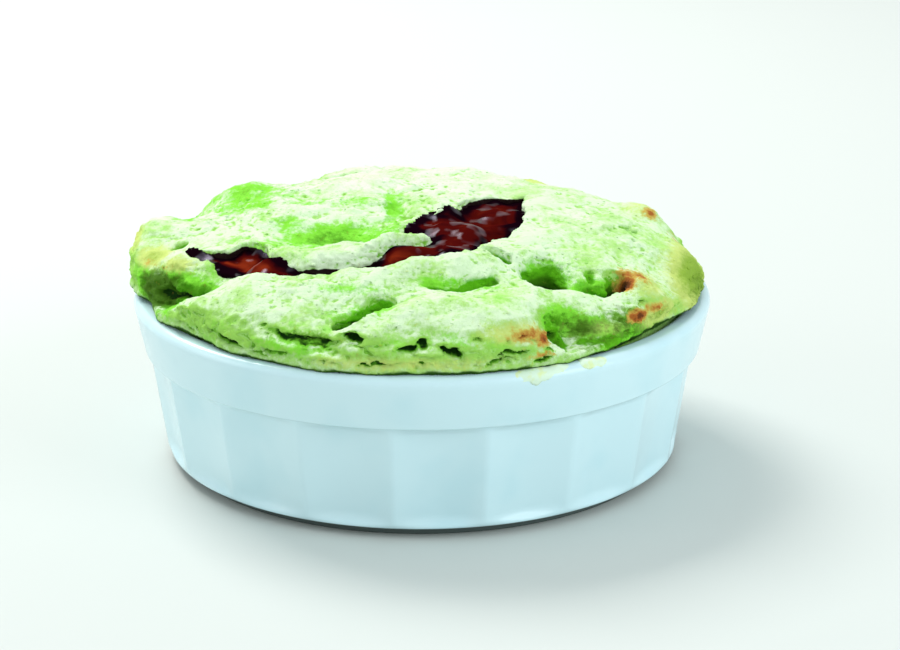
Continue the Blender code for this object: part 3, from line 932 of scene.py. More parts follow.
grain = add(tree, "ShaderNodeTexNoise", place, by_name={"Scale": grain_scale, "Detail": 2.0})
grain = add(tree, MATH, grain, 0.5, operation="SUBTRACT")
print(tree.name, len(tree.nodes), "nodes so far")


# %% [markdown]
# ## Pores, and the push
#
# Bubbles that burst leave pores, most of them tiny. Instances of small balls could be cut out of
# the crust, but thousands of cuts are slow. So each pore is a cell of a Voronoi pattern: the cell's
# random colour gives the pore's width, and many cells get none. Lumps, folds, crumb, grain and
# pores are then added up, and each point moves along its normal by the sum.

# %% Pores, and the push along the normal
JITTER = 1.2 * MM
JITTER_REACH = 1.1 * MM  # how far a pore's edge is drawn out of round
pore_scale = add(tree, MATH, 1.0, given["Pore Spacing"], operation="DIVIDE")
jitter = add(tree, "ShaderNodeTexNoise", place, by_name={"Scale": 1 / JITTER, "Detail": 2.0})["Color"]
jitter = add(tree, VECTOR, jitter, by_name={"Scale": JITTER_REACH}, operation="SCALE")
jittered = add(tree, VECTOR, flat, jitter, operation="ADD")
cells = add(tree, "ShaderNodeTexVoronoi", jittered, by_name={"Scale": pore_scale})
luck = add(tree, "ShaderNodeSeparateXYZ", cells["Color"])
width = add(tree, MATH, luck, 1.2, -1.0, operation="MULTIPLY_ADD", use_clamp=True)
width = add(tree, MATH, width, 0.001, operation="MAXIMUM")
reach = add(tree, MATH, cells["Distance"], width, operation="DIVIDE")
pore = add(tree, MATH, 1.0, reach, operation="SUBTRACT", use_clamp=True)
pore = add(tree, MATH, pore, 0.7, operation="POWER")
crumbly = add(tree, "GeometryNodeInputNamedAttribute", "crumbly", data_type="FLOAT")
relief = add(tree, MATH, lumps, given["Lump Height"], operation="MULTIPLY")
relief = add(tree, MATH, folds, given["Fold Height"], relief, operation="MULTIPLY_ADD")
relief = add(tree, MATH, crumb, given["Crumb Height"], relief, operation="MULTIPLY_ADD")
relief = add(tree, MATH, grain, given["Grain Height"], relief, operation="MULTIPLY_ADD")
pore = add(tree, MATH, pore, given["Pore Depth"], operation="MULTIPLY")
relief = add(tree, MATH, relief, pore, operation="SUBTRACT")
relief = add(tree, MATH, relief, given["Swell"], operation="SUBTRACT")
relief = add(tree, MATH, relief, crumbly, operation="MULTIPLY")
push = add(tree, VECTOR, add(tree, "GeometryNodeInputNormal"), by_name={"Scale": relief}, operation="SCALE")
moved = add(tree, "GeometryNodeSetPosition", given["Geometry"], by_name={"Offset": push})
finish_tree(tree, moved, given["Skin"])
print(tree.name, len(tree.nodes), "nodes")


# %% [markdown]
# ## Run it
#
# The steep side is rougher than the top, and the walls of the crack and of the deepest holes are
# smooth. That could be painted as weights by hand, but painted weights don't follow a change of
# shape. So an attribute worked out from the shape says how rough each part is.

# %% Run the crumb tree
points = points_of(souffle.data)
x, y, z = points.T
steepness = smooth_step(0.75, 0.3, normals_of(souffle.data)[:, 2])
roughened = 0.7 + 0.45 * noise(points, 9 * MM, 51) + 0.5 * steepness
_, sunk, beyond = torn_crust(x, y)
in_crack = smooth_step(0.2 * MM, -0.4 * MM, beyond)
smoother = 0.8 * np.maximum(in_crack, smooth_step(2.5 * MM, 4.0 * MM, sunk))
calm_lip = 0.4 + 0.6 * smooth_step(0.5 * MM, 2.5 * MM, z - RIM_TOP)
store(souffle.data, "crumbly", np.clip(roughened, 0.15, 1.35) * (1 - smoother) * calm_lip)
use_tree(
    souffle,
    tree,
    Lump_Size=8.0 * MM,
    Lump_Height=1.6 * MM,
    Fold_Size=4.2 * MM,
    Fold_Height=1.2 * MM,
    Crumb_Size=2.2 * MM,
    Crumb_Height=1.3 * MM,
    Grain_Size=1.1 * MM,
    Grain_Height=0.5 * MM,
    Pore_Spacing=2.4 * MM,
    Pore_Depth=0.7 * MM,
    Swell=0.4 * MM,
    Seed=3.0,
    Skin=crust,
)
print("roughened crust", len(souffle.data.polygons), "faces")


# %% [markdown]
# ## Where the colours lie
#
# Soft spots in space, each with a centre and three half sizes, say where the crust is torn, golden
# or toasted, and where painted light makes it paler or painted shade makes it darker. They could be
# a painted stencil seen from above, but a spot in space also tells the top of a fold from its foot.

# %% Masks for the crust's colours
# Centre x, y and height above the rim, the same three half sizes, strength.
# Torn crumb is vivid green; the strongest spots, on the lobe's face, in the left gap, deep in the hollow,
# on the steam hole's floor and in the recesses, add painted shade.
TORN_AND_SHADE_SPOTS = {
    "hollow": (-18, -10, 11, 17, 9, 6, 1.3),
    "hollow_deep": (-15, -13, 10.5, 10, 5, 4, 1.7),
    "hollow_left": (-27, -5, 12, 6, 5, 4, 1.2),
    "hollow_arm": (-6.4, 9, 13, 2.5, 15, 5, 1.2),
    "slab_foot": (-20, 6, 14, 14, 3.5, 4, 0.9),
    "left_back": (-37, 14, 14, 12, 13, 6, 0.95),
    "left_dip": (-49, 12, 10, 4, 7, 4, 0.85),
    "lobe_face": (-50, -20, 5, 9, 4.5, 3.4, 2.1),
    "lobe_face_left": (-57, -13, 4.5, 4, 5, 3.2, 2.0),
    "left_gap": (-46, -25, 5, 8, 4, 3, 2.0),
    "flap_crevice": (-10, -47, 9, 6.5, 3, 1.8, 1.0),
    "lip_crevice": (8, -38, 12, 8, 2.2, 2, 1.0),
    "steam_hole": (24.5, -29, 9, 5.5, 6, 6, 1.4),
    "steam_hole_floor": (25, -31, 6, 4, 5, 4, 2.2),
    "lobe_crack": (34.5, -30.8, 8.5, 5.5, 3.2, 2, 1.4),
    "recess": (27, -43.5, 6, 4.5, 4, 3, 1.7),
    "recess_right": (33, -42, 4.5, 5, 4, 2.4, 1.5),
    "right_lobe_side": (41, -38, 4.5, 9, 5, 3.2, 0.75),
    "right_edge": (57, -9, 4, 6, 16, 5, 1.15),
    "flap_middle": (-14, -41, 12, 9, 2.4, 3, 0.75),
    "flap_right": (6, -46, 7, 11, 3.5, 3, 0.95),
    "low_front": (-24, -53, 4, 12, 5, 2.4, 0.7),
    "front_middle": (9, -53, 5.6, 11, 4.5, 2.2, 0.9),
    "low_right": (43, -38, 2, 14, 10, 2.2, 1.5),
}
# Painted light: paler on the island's lip and the crown.
PAINTED_LIGHT_SPOTS = {
    "island_lip": (-15, -27.5, 13, 14, 4, 4, 0.8),
    "crown": (30, -4, 15, 16, 12, 5, 0.35),
}
# Painted shade: darker olive on faces turned from the light, on the lobes, in the recess and on the low
# front band.
PAINTED_SHADE_SPOTS = {
    "right_lobe_side": (41, -38, 4.4, 11, 5, 2.8, 0.95),
    "low_right": (37, -45, 2.4, 11, 6, 1.6, 0.8),
    "lobe_face": (-55, -17, 4.2, 10, 5, 3.4, 2.2),
    "recess": (31, -43, 4.5, 4.5, 4, 2.6, 1.0),
    "right_edge": (57, -12, 2.8, 4, 14, 3.0, 0.6),
    "flap_band": (-22, -52, 5.6, 9, 5, 1.2, 0.85),
    "flap_band_right": (-8, -57, 3.4, 9, 4, 0.9, 0.45),
    "tongue_foot": (-46, -34, 4.0, 7, 5, 1.2, 0.4),
}
print(len(TORN_AND_SHADE_SPOTS), "torn,", len(PAINTED_LIGHT_SPOTS), "dry and", len(PAINTED_SHADE_SPOTS), "dull spots")


# %% [markdown]
# ## Golden and toasted spots
#
# The oven browns what stands out: the shoulder, the ends of the flap and the right lobe. The back
# gets a few such spots too, since it stood in the same oven. They are written as the others are, so
# one function reads all the tables.

# %% Golden and toasted spots
# Centre x, y and height above the rim, the same three half sizes, strength.
GOLD_SPOTS = {
    "left_lobe": (-56, -9, 9, 6, 5, 2.4, 1.0),
    "left_lobe_end": (-49, -16.5, 9.6, 6, 3.5, 1.6, 0.8),
    "left_end": (-60, 5, 9, 3.5, 9, 3, 0.75),
    "right_edge": (56, -10, 5.4, 7, 15, 5.5, 1.4),
    "right_lobe": (46, -27, 9, 6, 7, 3.5, 0.7),
    "right_lobe_low": (47, -31, 4, 8, 7, 2.6, 1.0),
    "right_low": (38, -42, 4, 12, 6, 2, 0.45),
    "right_back": (47, 13, 13, 7, 7, 3, 0.5),
    "flap_end": (18, -52, 6.5, 9, 5, 2.2, 0.75),
    "flap_foot": (-6, -58, 2.2, 34, 4, 1.6, 0.5),
    "back": (22, 42, 11.5, 14, 6, 4, 0.8),
    "back_side": (-14, 53, 8, 16, 6, 3, 0.6),
}
TOAST_SPOTS = {
    "flap_end": (25.0, -50.6, 4.9, 2.8, 4, 1.2, 1.35),
    "flap_end_tail": (20.8, -52.0, 6.1, 4.2, 4, 1.1, 0.85),
    "flap_foot": (23.4, -54, 2.4, 3.0, 4, 0.7, 0.6),
    "right_lobe": (43.0, -36.6, 4.8, 2.4, 3.5, 1.2, 1.35),
    "right_lobe_end": (46.8, -33.5, 5.4, 3.2, 3.5, 1.0, 0.85),
    "right_lobe_top": (44.4, -25.6, 10.4, 2.6, 3.0, 1.5, 1.1),
    "right_lobe_brow": (41.6, -26.4, 10.4, 2.6, 2.5, 1.4, 0.8),
    "right_back": (48.6, 10.6, 12.8, 2.0, 3, 1.3, 0.95),
    "right_shoulder": (53.6, 6.5, 8.6, 1.6, 4, 1.4, 0.6),
    # Browned at its edge and nearly black deep inside the hole.
    "right_tear": (40.8, -28.4, 7.0, 2.0, 2.2, 3.4, 2.2),
    "left_lobe": (-57, -9.5, 8.0, 3, 3, 0.9, 0.35),
    "left_brow": (-52, -15.2, 8.6, 3.5, 3, 0.7, 0.3),
    "left_end": (-61.5, 5, 9.4, 1.6, 5, 1.4, 0.45),
    "back_lump": (33, 38, 9.5, 6, 3, 3, 1.0),
    "back_left": (-20, 48, 9.5, 6, 2.4, 2.6, 0.95),
    "back_foot": (6, 56, 5.0, 5, 2.4, 1.6, 0.9),
}
print(len(GOLD_SPOTS), "golden and", len(TOAST_SPOTS), "toasted spots")


# %% [markdown]
# ## Measure the hollows
#
# Hollows are painted greener and darker than what stands out, as the shade that falls in them.
# They are measured by smoothing the mesh and asking how far each point lies below its smoothed
# self: a narrow smoothing finds pores, and a wide one finds folds. An ambient occlusion node would
# darken hollows too, but it can't tell a pore from a fold.

# %% Measure the hollows
PORE_ROUNDS = 4
FOLD_ROUNDS = 26
PORE_DEEP = 0.19 * MM
FOLD_DEEP = 0.6 * MM


def smoothed(mesh, values, rounds):
    """Values averaged with their neighbours, round after round."""
    edges = np.empty(len(mesh.edges) * 2, dtype=np.int64)
    mesh.edges.foreach_get("vertices", edges)
    a, b = edges.reshape(-1, 2).T
    count = np.bincount(a, minlength=len(values)) + np.bincount(b, minlength=len(values)) + 1.0
    for _ in range(rounds):
        total = values.copy()
        for column in range(values.shape[1]):
            total[:, column] += np.bincount(a, values[b, column], len(values))
            total[:, column] += np.bincount(b, values[a, column], len(values))
        values = total / count[:, None]
    return values


mesh = souffle.data
points = points_of(mesh)
normals = normals_of(mesh)
x, y, z = points.T
near = smoothed(mesh, points, PORE_ROUNDS)
wide = smoothed(mesh, near, FOLD_ROUNDS)
fine_hollow = np.sum((near - points) * normals, axis=1)
wide_hollow = np.sum((wide - points) * normals, axis=1)
cavity = np.clip(fine_hollow / PORE_DEEP, -0.3, 0.8) + np.clip(wide_hollow / FOLD_DEEP, -0.4, 1.1)
for label, values in (("fine", fine_hollow), ("wide", wide_hollow)):
    print(label, "hollows of the crust, in mm:", np.percentile(values / MM, (5, 50, 95)).round(3))


# %% [markdown]
# ## Write the masks
#
# Each mask is a number kept on every point, which the crust's material reads by name. A mask could
# also be a picture on a UV map, but the crust would have to be unwrapped first, and a number on a
# point stays as sharp as the mesh. The crack's walls are darkened, by the sauce's stain and by
# painted shade, from higher up at the crack's two ends, where the sauce rose to the edge.

# %% Write the masks
def spots(points, table):
    """The strongest of a table's soft spots at each point."""
    strongest = np.zeros(len(points))
    for row in table.values():
        centre = np.array(row[:3]) * MM + (0, 0, RIM_TOP)
        away = np.linalg.norm((points - centre) / (np.array(row[3:6]) * MM), axis=1)
        strongest = np.maximum(strongest, row[6] * np.exp(-away * away))
    return strongest


facing = smoothed(mesh, normals, 6)[:, 2]
_, sunk, beyond = torn_crust(x, y)
dug = np.empty(len(x))
mesh.attributes["side_dug"].data.foreach_get("value", dug)
tables = {"torn": TORN_AND_SHADE_SPOTS, "dull": PAINTED_SHADE_SPOTS, "gold": GOLD_SPOTS, "toast": TOAST_SPOTS}
for name, table in tables.items():
    store(mesh, name, spots(points, table))
# Painted shade in hollows, and more strongly in the slots that were dug into the side.
store(mesh, "cavity", cavity + 1.8 * smooth_step(0.5 * MM, 2.0 * MM, dug))
# Depth below the whole crust, in tears and holes outside the crack, which paints shade there: darker
# towards the bottom.
below = smooth_crust(x, y) + RIM_TOP - z
in_hole = smooth_step(0.2 * MM, 0.8 * MM, sunk) * smooth_step(0.0, 1.0 * MM, beyond)
store(mesh, "depth", below / (6 * MM) * in_hole)
# Painted shade: the steep side is greener and darker, weaker close to the rim.
side_reach = smooth_step(38 * MM, 48 * MM, np.hypot(x, y))
side_reach *= 0.6 + 0.4 * smooth_step(1.6 * MM, 4.0 * MM, z - RIM_TOP)
store(mesh, "side", smooth_step(0.92, 0.35, facing) * side_reach)
# The underside of the lip, and a little of the lowest crust.
under_lip = smooth_step(-0.1, -0.6, facing) * smooth_step(50 * MM, 53 * MM, np.hypot(x, y))
store(mesh, "shade", np.maximum(under_lip, 0.3 * smooth_step(1.2 * MM, 0.4 * MM, z - RIM_TOP)))
# Painted light: the level tops at the back and left, the island's lip and the crown are made paler, but not
# their hollows.
flat_back = smooth_step(-14 * MM, 14 * MM, y) * smooth_step(0.8, 0.97, facing)
flat_back *= smooth_step(40 * MM, 8 * MM, x)
store(mesh, "dry", np.maximum(0.5 * flat_back, spots(points, PAINTED_LIGHT_SPOTS)) * smooth_step(1.2, 0.5, cavity))
# Sauce stain and painted shade on the crack's walls, from a depth that is less at the crack's two ends.
stained_ends = np.maximum(smooth_step(0, 6 * MM, x), smooth_step(-28 * MM, -33 * MM, x))
starts = (2.7 - 2.3 * stained_ends) * MM
by_crack = smooth_step(1.4 * MM, 0.7 * MM, beyond)
store(mesh, "stain", smooth_step(starts, starts + 0.6 * MM, below) * by_crack)
print("masks", [item.name for item in mesh.attributes if item.data_type == "FLOAT"])


# %% [markdown]
# ## Thin the mesh
#
# The even faces have done their work: the relief is cut and the masks are measured. A Decimate
# modifier now joins faces where the crust is nearly flat, so the piece stays light, and carries the
# masks over to the points that are left. A coarser remesh would be as light, but it would blur the
# tears too.

# %% Thin the crust
CRUST_TRIANGLES = 190000
thin = souffle.modifiers.new("thin", "DECIMATE")
thin.ratio = CRUST_TRIANGLES / sum(len(face.vertices) - 2 for face in souffle.data.polygons)
baked(souffle)
souffle.data.shade_smooth()
print("thinned crust", len(souffle.data.polygons), "faces")


# %% [markdown]
# ## The dark filling
#
# A berry sauce fills the crack to just under its edge. A fluid simulation could pour it, but a
# sauce that has set hardly moves, so its surface is a height too. It follows the crust's dome with
# slow waves, as a thick sauce that bubbled and set does. It reaches a millimetre under the crust,
# so no gap shows.

# %% Filling
SAUCE_GRID = 0.45 * MM
SAUCE_UNDER = 1.0 * MM  # how far it reaches under the crust
SAUCE_BODY = 2.6 * MM
WAVE = 5.0 * MM
WAVE_HEIGHT = 1.7 * MM
RIPPLE = 2.2 * MM
RIPPLE_HEIGHT = 0.4 * MM
MARGIN = 2 * MM  # how far the grid reaches past the crack


def grid_mesh(name, points, kept):
    """A mesh of the kept cells of a grid of points, with no loose points."""
    row = kept.shape[1] + 1
    corners = np.array([0, 1, row + 1, row])
    faces = [tuple(r * row + c + corners) for r, c in np.argwhere(kept)]
    mesh = bpy.data.meshes.new(name)
    mesh.from_pydata(points.tolist(), [], faces)
    shape = bmesh.new()
    shape.from_mesh(mesh)
    loose = [v for v in shape.verts if not v.link_faces]
    bmesh.ops.delete(shape, geom=loose, context="VERTS")
    shape.to_mesh(mesh)
    shape.free()
    return mesh


def sauce_level(x, y):
    """Height of the sauce above the rim."""
    line = np.array(SAUCE_LINE)
    cx, cy, below = line.T * MM
    offset = smooth_crust(cx, cy) - dome(cx, cy) - below
    _, place = along_line(x, y, line[:, :2])
    return dome(x, y) + np.interp(place, np.arange(len(line)), offset)


def sauce_mesh():
    """A patch of grid over the crack, a little wider than it, so that its edge is inside the crust."""
    low, high = np.min(TORN_EDGE, axis=0)[:2] * MM, np.max(TORN_EDGE, axis=0)[:2] * MM
    xs = np.arange(low[0] - MARGIN, high[0] + MARGIN, SAUCE_GRID)
    ys = np.arange(low[1] - MARGIN, high[1] + MARGIN, SAUCE_GRID)
    gx, gy = np.meshgrid(xs, ys)
    x, y = gx.ravel(), gy.ravel()
    plan = np.stack([x, y], axis=1)
    waves = WAVE_HEIGHT * noise(plan, WAVE, 31) + RIPPLE_HEIGHT * noise(plan, RIPPLE, 32)
    z = RIM_TOP + sauce_level(x, y) + waves
    inside = (beyond_edge(x, y)[0] < SAUCE_UNDER).reshape(gx.shape)
    cells = inside[:-1, :-1] & inside[1:, :-1] & inside[:-1, 1:] & inside[1:, 1:]
    return grid_mesh("dark_sauce", np.stack([x, y, z], axis=1), cells)


print("sauce lies", (sauce_level(*MID_CRACK) / MM).round(1), "mm above the rim")


# %% [markdown]
# ## Lay it in the crack
#
# The patch gets a thickness of 2.6 mm from a Solidify modifier, so that it is a closed body and not
# a bare sheet. An attribute tells the middle, where light gets into the sauce, from the dark edge.

# %% Lay the sauce in the crack
sauce = new_piece("dark_sauce", sauce_mesh())
thick = sauce.modifiers.new("body", "SOLIDIFY")
thick.thickness = SAUCE_BODY
thick.offset = -1
baked(sauce)
sauce.data.shade_smooth()
x, y, _ = points_of(sauce.data).T
wavy = 1.0 * MM * noise(np.stack([x, y], axis=1), 2.6 * MM, 33)
inner = smooth_step(0.0, 3.6 * MM, wavy - beyond_edge(x, y)[0])
# Painted shade: the pool on the right is made darker.
inner *= 1 - 0.52 * smooth_step(-10 * MM, 2 * MM, x)
store(sauce.data, "inner", inner)
print("sauce", len(sauce.data.polygons), "faces")


# %% [markdown]
# ## Sauce material
#
# Cooked fruit and sugar make a wet sauce that is almost black at its edge and ruddy in the middle,
# where light gets in. Its IOR is that of a strong syrup, 1.46. Real depth would need a see-through
# volume, which is slow to render, so colour tells the depth. It is wet in patches: the gloss comes
# and goes with a noise 3.6 mm wide, which breaks the window's reflection into small lights.

# %% Sauce material
material, tree, shader = principled(
    "dark_sauce",
    "#2a0406",
    Roughness=0.3,
    IOR=1.46,
    Specular_Tint=linear("#c9b4f2"),
)
place = add(tree, "ShaderNodeTexCoord")["Object"]
slow = {"Scale": 1 / (6 * MM), "Detail": 3.0, "Distortion": 1.0}
swirl = add(tree, "ShaderNodeTexNoise", place, by_name=slow)
depth = add(tree, "ShaderNodeAttribute", attribute_name="inner")["Fac"]
ruddy = add(tree, MATH, swirl, 0.5, operation="SUBTRACT")
ruddy = add(tree, MATH, ruddy, 1.2, depth, operation="MULTIPLY_ADD")
colour = layered(tree, linear("#12030b"), (("#480a08", ruddy, 0.1, 0.5), ("#7e2812", ruddy, 0.5, 1.1)))
tree.links.new(colour, shader.inputs["Base Color"])
wet = add(tree, "ShaderNodeTexNoise", place, by_name={"Scale": 1 / (3.6 * MM), "Detail": 1.0})
wet = add(tree, "ShaderNodeMapRange", wet, 0.54, 0.7, 0.0, 0.38, interpolation_type="SMOOTHSTEP")
tree.links.new(wet[0], shader.inputs["Specular IOR Level"])
sauce.data.materials.append(material)
print(material.name, len(tree.nodes), "nodes")


# %% [markdown]
# ## The dish
#
# The dish is porcelain, formed in a turned mould: a rounded rim, a plain band, a small ledge and a
# wall that narrows to an unglazed foot ring. It could be pulled out of a cylinder ring by ring, but
# a turned piece is no more than its profile. One profile of radius and height says all of that, and
# it is turned about the upright axis.

# %% Dish
RIM_ROUND = 1.7 * MM
FLOOR = 4.0 * MM
FLOOR_CORNER = 3.0 * MM
BAND_HEIGHT = 11.1 * MM
BAND_TAPER = 1.9 * MM
BAND_ROUND = 0.5 * MM
LEDGE = 1.1 * MM
LEDGE_ROUND = 0.35 * MM
WALL_TAPER = 3.0 * MM
WALL_CORNER = 1.6 * MM
FOOT_HEIGHT = 2.0 * MM
FOOT_INSET = 3.4 * MM
FOOT_WIDTH = 4.0 * MM
FOOT_ROUND = 0.5 * MM
FOOT_RECESS = 0.8 * MM


def arc(centre, radius, start, end, count):
    """Points on an arc in the plane of radius and height, between two angles in degrees."""
    angles = np.radians(np.linspace(start, end, count))
    return [(centre[0] + radius * math.cos(a), centre[1] + radius * math.sin(a)) for a in angles]


def span(start, end, count):
    """Points on a straight line, without its last."""
    return [tuple(p) for p in np.linspace(start, end, count, endpoint=False)]


def dish_profile():
    """Radius and height pairs from the middle of the inner floor round to the middle of the base."""
    band_foot = RIM_TOP - BAND_HEIGHT
    band_radius = RIM_RADIUS - BAND_TAPER
    wall_top = band_radius - LEDGE
    wall_foot = wall_top - WALL_TAPER
    inner_top = RIM_RADIUS - WALL
    inner_foot = wall_foot - WALL + LEDGE
    foot_out = wall_foot - FOOT_INSET
    floor_edge = inner_foot - FLOOR_CORNER
    inside = span((0, FLOOR), (floor_edge, FLOOR), 4)
    inside += arc((floor_edge, FLOOR + FLOOR_CORNER), FLOOR_CORNER, -90, -6, 7)
    inside += span((inner_foot, FLOOR + FLOOR_CORNER + MM), (inner_top, RIM_TOP - RIM_ROUND), 6)
    rim = arc((inner_top + RIM_ROUND, RIM_TOP - RIM_ROUND), RIM_ROUND, 180, 90, 9)
    rim += arc((RIM_RADIUS - RIM_ROUND, RIM_TOP - RIM_ROUND), RIM_ROUND, 90, 0, 9)
    band = span(rim[-1], (band_radius, band_foot + BAND_ROUND), 8)
    band += arc((band_radius - BAND_ROUND, band_foot + BAND_ROUND), BAND_ROUND, 0, -80, 6)
    wall = arc((wall_top + LEDGE_ROUND, band_foot - LEDGE_ROUND), LEDGE_ROUND, 100, 180, 4)
    wall_start = (wall_top - 0.05 * MM, band_foot - MM)
    wall += span(wall_start, (wall_foot, FOOT_HEIGHT + 1.1 * WALL_CORNER), 26)
    wall += arc((wall_foot - WALL_CORNER, FOOT_HEIGHT + WALL_CORNER), WALL_CORNER, 0, -84, 8)
    foot = arc((foot_out - FOOT_ROUND, FOOT_ROUND), FOOT_ROUND, 30, -90, 5)
    foot += arc((foot_out - FOOT_WIDTH + FOOT_ROUND, FOOT_ROUND), FOOT_ROUND, -90, -180, 4)
    base = span((foot_out - FOOT_WIDTH - 0.2 * MM, FOOT_RECESS), (0, FOOT_RECESS), 4)
    base += [(0, FOOT_RECESS)]
    return inside + rim[:-1] + band + wall + foot + base


print("profile of the dish", len(dish_profile()), "points")


# %% [markdown]
# ## Flutes
#
# The wall has nineteen hollow flutes with ridges between them. Nineteen Boolean cuts would do, but
# the flutes follow one rule, which suits a tree. It finds how far each point is round its flute and
# pulls it in by a curve that is zero at the ridge and deepest in the middle. The hollows fade out
# at the band and at the foot.

# %% A tree that hollows the flutes
FLUTES = 19
FLUTE_TURN = math.radians(-95.6)
FLUTE_DEPTH = 1.5 * MM
FADE_AT_BAND = 0.7 * MM
FADE_AT_FOOT = 1.6 * MM
tree, given = new_tree(
    "flutes",
    Count="Int",
    Depth="Float",
    Ridge_Softness="Float",
    Wall_Foot="Float",
    Wall_Top="Float",
    Inner_Radius="Float",
    Turn="Float",
    Glaze="Material",
)
place = add(tree, "GeometryNodeInputPosition")
axes = add(tree, "ShaderNodeSeparateXYZ", place)
flat = add(tree, "ShaderNodeCombineXYZ", axes[0], axes[1])
radius = add(tree, VECTOR, flat, operation="LENGTH")["Value"]
angle = add(tree, MATH, axes[1], axes[0], operation="ARCTAN2")
angle = add(tree, MATH, angle, given["Turn"], operation="SUBTRACT")
per_turn = add(tree, MATH, given["Count"], TURN, operation="DIVIDE")
phase = add(tree, MATH, angle, per_turn, operation="MULTIPLY")
phase = add(tree, MATH, phase, 0.5, -0.5, operation="WRAP")
off = add(tree, MATH, phase, operation="ABSOLUTE")
off = add(tree, MATH, off, 2.0, operation="MULTIPLY")
softened = add(tree, MATH, off, given["Ridge Softness"], operation="ADD")
share = add(tree, MATH, off, off, operation="MULTIPLY")
share = add(tree, MATH, share, softened, operation="DIVIDE")
rest = add(tree, MATH, 2.0, share, operation="SUBTRACT")
hollow = add(tree, MATH, share, rest, operation="MULTIPLY")
inwards = add(tree, MATH, given["Depth"], -1.0, operation="MULTIPLY")
shift = add(tree, MATH, hollow, inwards, operation="MULTIPLY")
below_top = add(tree, MATH, given["Wall Top"], axes[2], operation="SUBTRACT")
below_top = add(tree, MATH, below_top, FADE_AT_BAND, operation="DIVIDE", use_clamp=True)
above_foot = add(tree, MATH, axes[2], given["Wall Foot"], operation="SUBTRACT")
above_foot = add(tree, MATH, above_foot, FADE_AT_FOOT, operation="DIVIDE", use_clamp=True)
outside = add(tree, MATH, radius, given["Inner Radius"], operation="GREATER_THAN")
for limit in (below_top, above_foot, outside):
    shift = add(tree, MATH, shift, limit, operation="MULTIPLY")
outwards = add(tree, VECTOR, flat, operation="NORMALIZE")
push = add(tree, VECTOR, outwards, by_name={"Scale": shift}, operation="SCALE")
moved = add(tree, "GeometryNodeSetPosition", given["Geometry"], by_name={"Offset": push})
finish_tree(tree, moved, given["Glaze"])
print(tree.name, len(tree.nodes), "nodes")


# %% [markdown]
# ## Turn and flute
#
# Twenty-four columns to a flute keep the ridges crisp. Glazed porcelain is a thin layer of glass
# over white clay, so its IOR is 1.5 and its roughness low, which gives the eye soft clear
# highlights. The tint drifts a little where the glaze pooled, over 14 mm, and waves 5 mm wide keep
# the reflections from being perfect. The foot ring is left bare, as potters leave it, so that it
# doesn't stick in the kiln. It is painted dark grey, as the shade that falls under the wall.

# %% Turn the dish and flute it
STEPS_PER_FLUTE = 24
GLAZE = "#cde9ef"


def turned(name, profile, steps):
    """Turns a profile about the Z axis with a Screw modifier."""
    mesh = bpy.data.meshes.new(name)
    mesh.from_pydata([(r, 0, z) for r, z in profile], [(i, i + 1) for i in range(len(profile) - 1)], [])
    piece = new_piece(name, mesh)
    screw = piece.modifiers.new("lathe", "SCREW")
    screw.steps = steps
    screw.render_steps = steps
    screw.use_merge_vertices = True
    screw.merge_threshold = 0.01 * MM
    baked(piece)
    face_out(piece.data)
    piece.data.shade_smooth()
    return piece


porcelain, tree_of_glaze, shader = principled("glazed_porcelain", GLAZE, Roughness=0.22, IOR=1.5)
place = add(tree_of_glaze, "ShaderNodeTexCoord")["Object"]
pooling = add(tree_of_glaze, "ShaderNodeTexNoise", place, by_name={"Scale": 1 / (14 * MM), "Detail": 2.0})
colour = layered(tree_of_glaze, linear(GLAZE), (("#c5e5ec", pooling, 0.45, 0.75),))
tree_of_glaze.links.new(colour, shader.inputs["Base Color"])
ripple = add(tree_of_glaze, "ShaderNodeTexNoise", place, by_name={"Scale": 1 / (5 * MM), "Detail": 1.0})
bump = add(tree_of_glaze, "ShaderNodeBump", 0.15, 0.3 * MM, by_name={"Height": ripple})
tree_of_glaze.links.new(bump[0], shader.inputs["Normal"])
dish = turned("porcelain_dish", dish_profile(), FLUTES * STEPS_PER_FLUTE)
use_tree(
    dish,
    tree,
    Count=FLUTES,
    Depth=FLUTE_DEPTH,
    Ridge_Softness=0.04,
    Wall_Foot=FOOT_HEIGHT + 0.4 * MM,
    Wall_Top=RIM_TOP - BAND_HEIGHT - 0.3 * MM,
    Inner_Radius=RIM_RADIUS - BAND_TAPER - LEDGE - WALL_TAPER - 0.4 * MM,
    Turn=FLUTE_TURN,
    Glaze=porcelain,
)
# Painted shade: the bare foot is dark grey, so that a dark line shows under the wall.
bare_foot_in_shade, *_ = principled("bare_foot_and_painted_shade", "#4f5b58", Roughness=0.85, IOR=1.5)
dish.data.materials.append(bare_foot_in_shade)
for face in dish.data.polygons:
    if face.center.z < FOOT_HEIGHT:
        face.material_index = 1
print("dish", len(dish.data.polygons), "faces")


# %% [markdown]
# ## A smear on the rim
#
# A little batter ran over the rim at the right of the front and baked to a thin skin. It could be a
# patch of colour in the glaze, but a real film catches the light at its edge. It is 0.3 mm thick at
# most, follows the rim's rounding, and its edge dips under the glaze.

# %% Baked smear on the rim
# Compass angle, where it lies across the rim in mm outwards from its top, half sizes along and
# across, and thickness in mm.
SMEARS = (
    (292.0, 1.1, 4.2, 2.2, 0.34),
    (296.5, 0.4, 2.6, 1.6, 0.3),
    (303.5, 0.2, 2.2, 2.0, 0.4),
    (306.0, 1.0, 1.6, 1.4, 0.32),
)
SMEAR_STEP = 0.3 * MM
SMEAR_THICKEST = 0.3 * MM
SMEAR_FILM = 0.25 * MM
SMEAR_EDGE = -0.06 * MM  # how deep the film's edge dips under the glaze
SMEAR_TURNS = (284, 312)  # the stretch of the rim that the grid covers, in degrees
SMEAR_ACROSS = (-2.2, 5.2)  # and how far across the rim, in mm


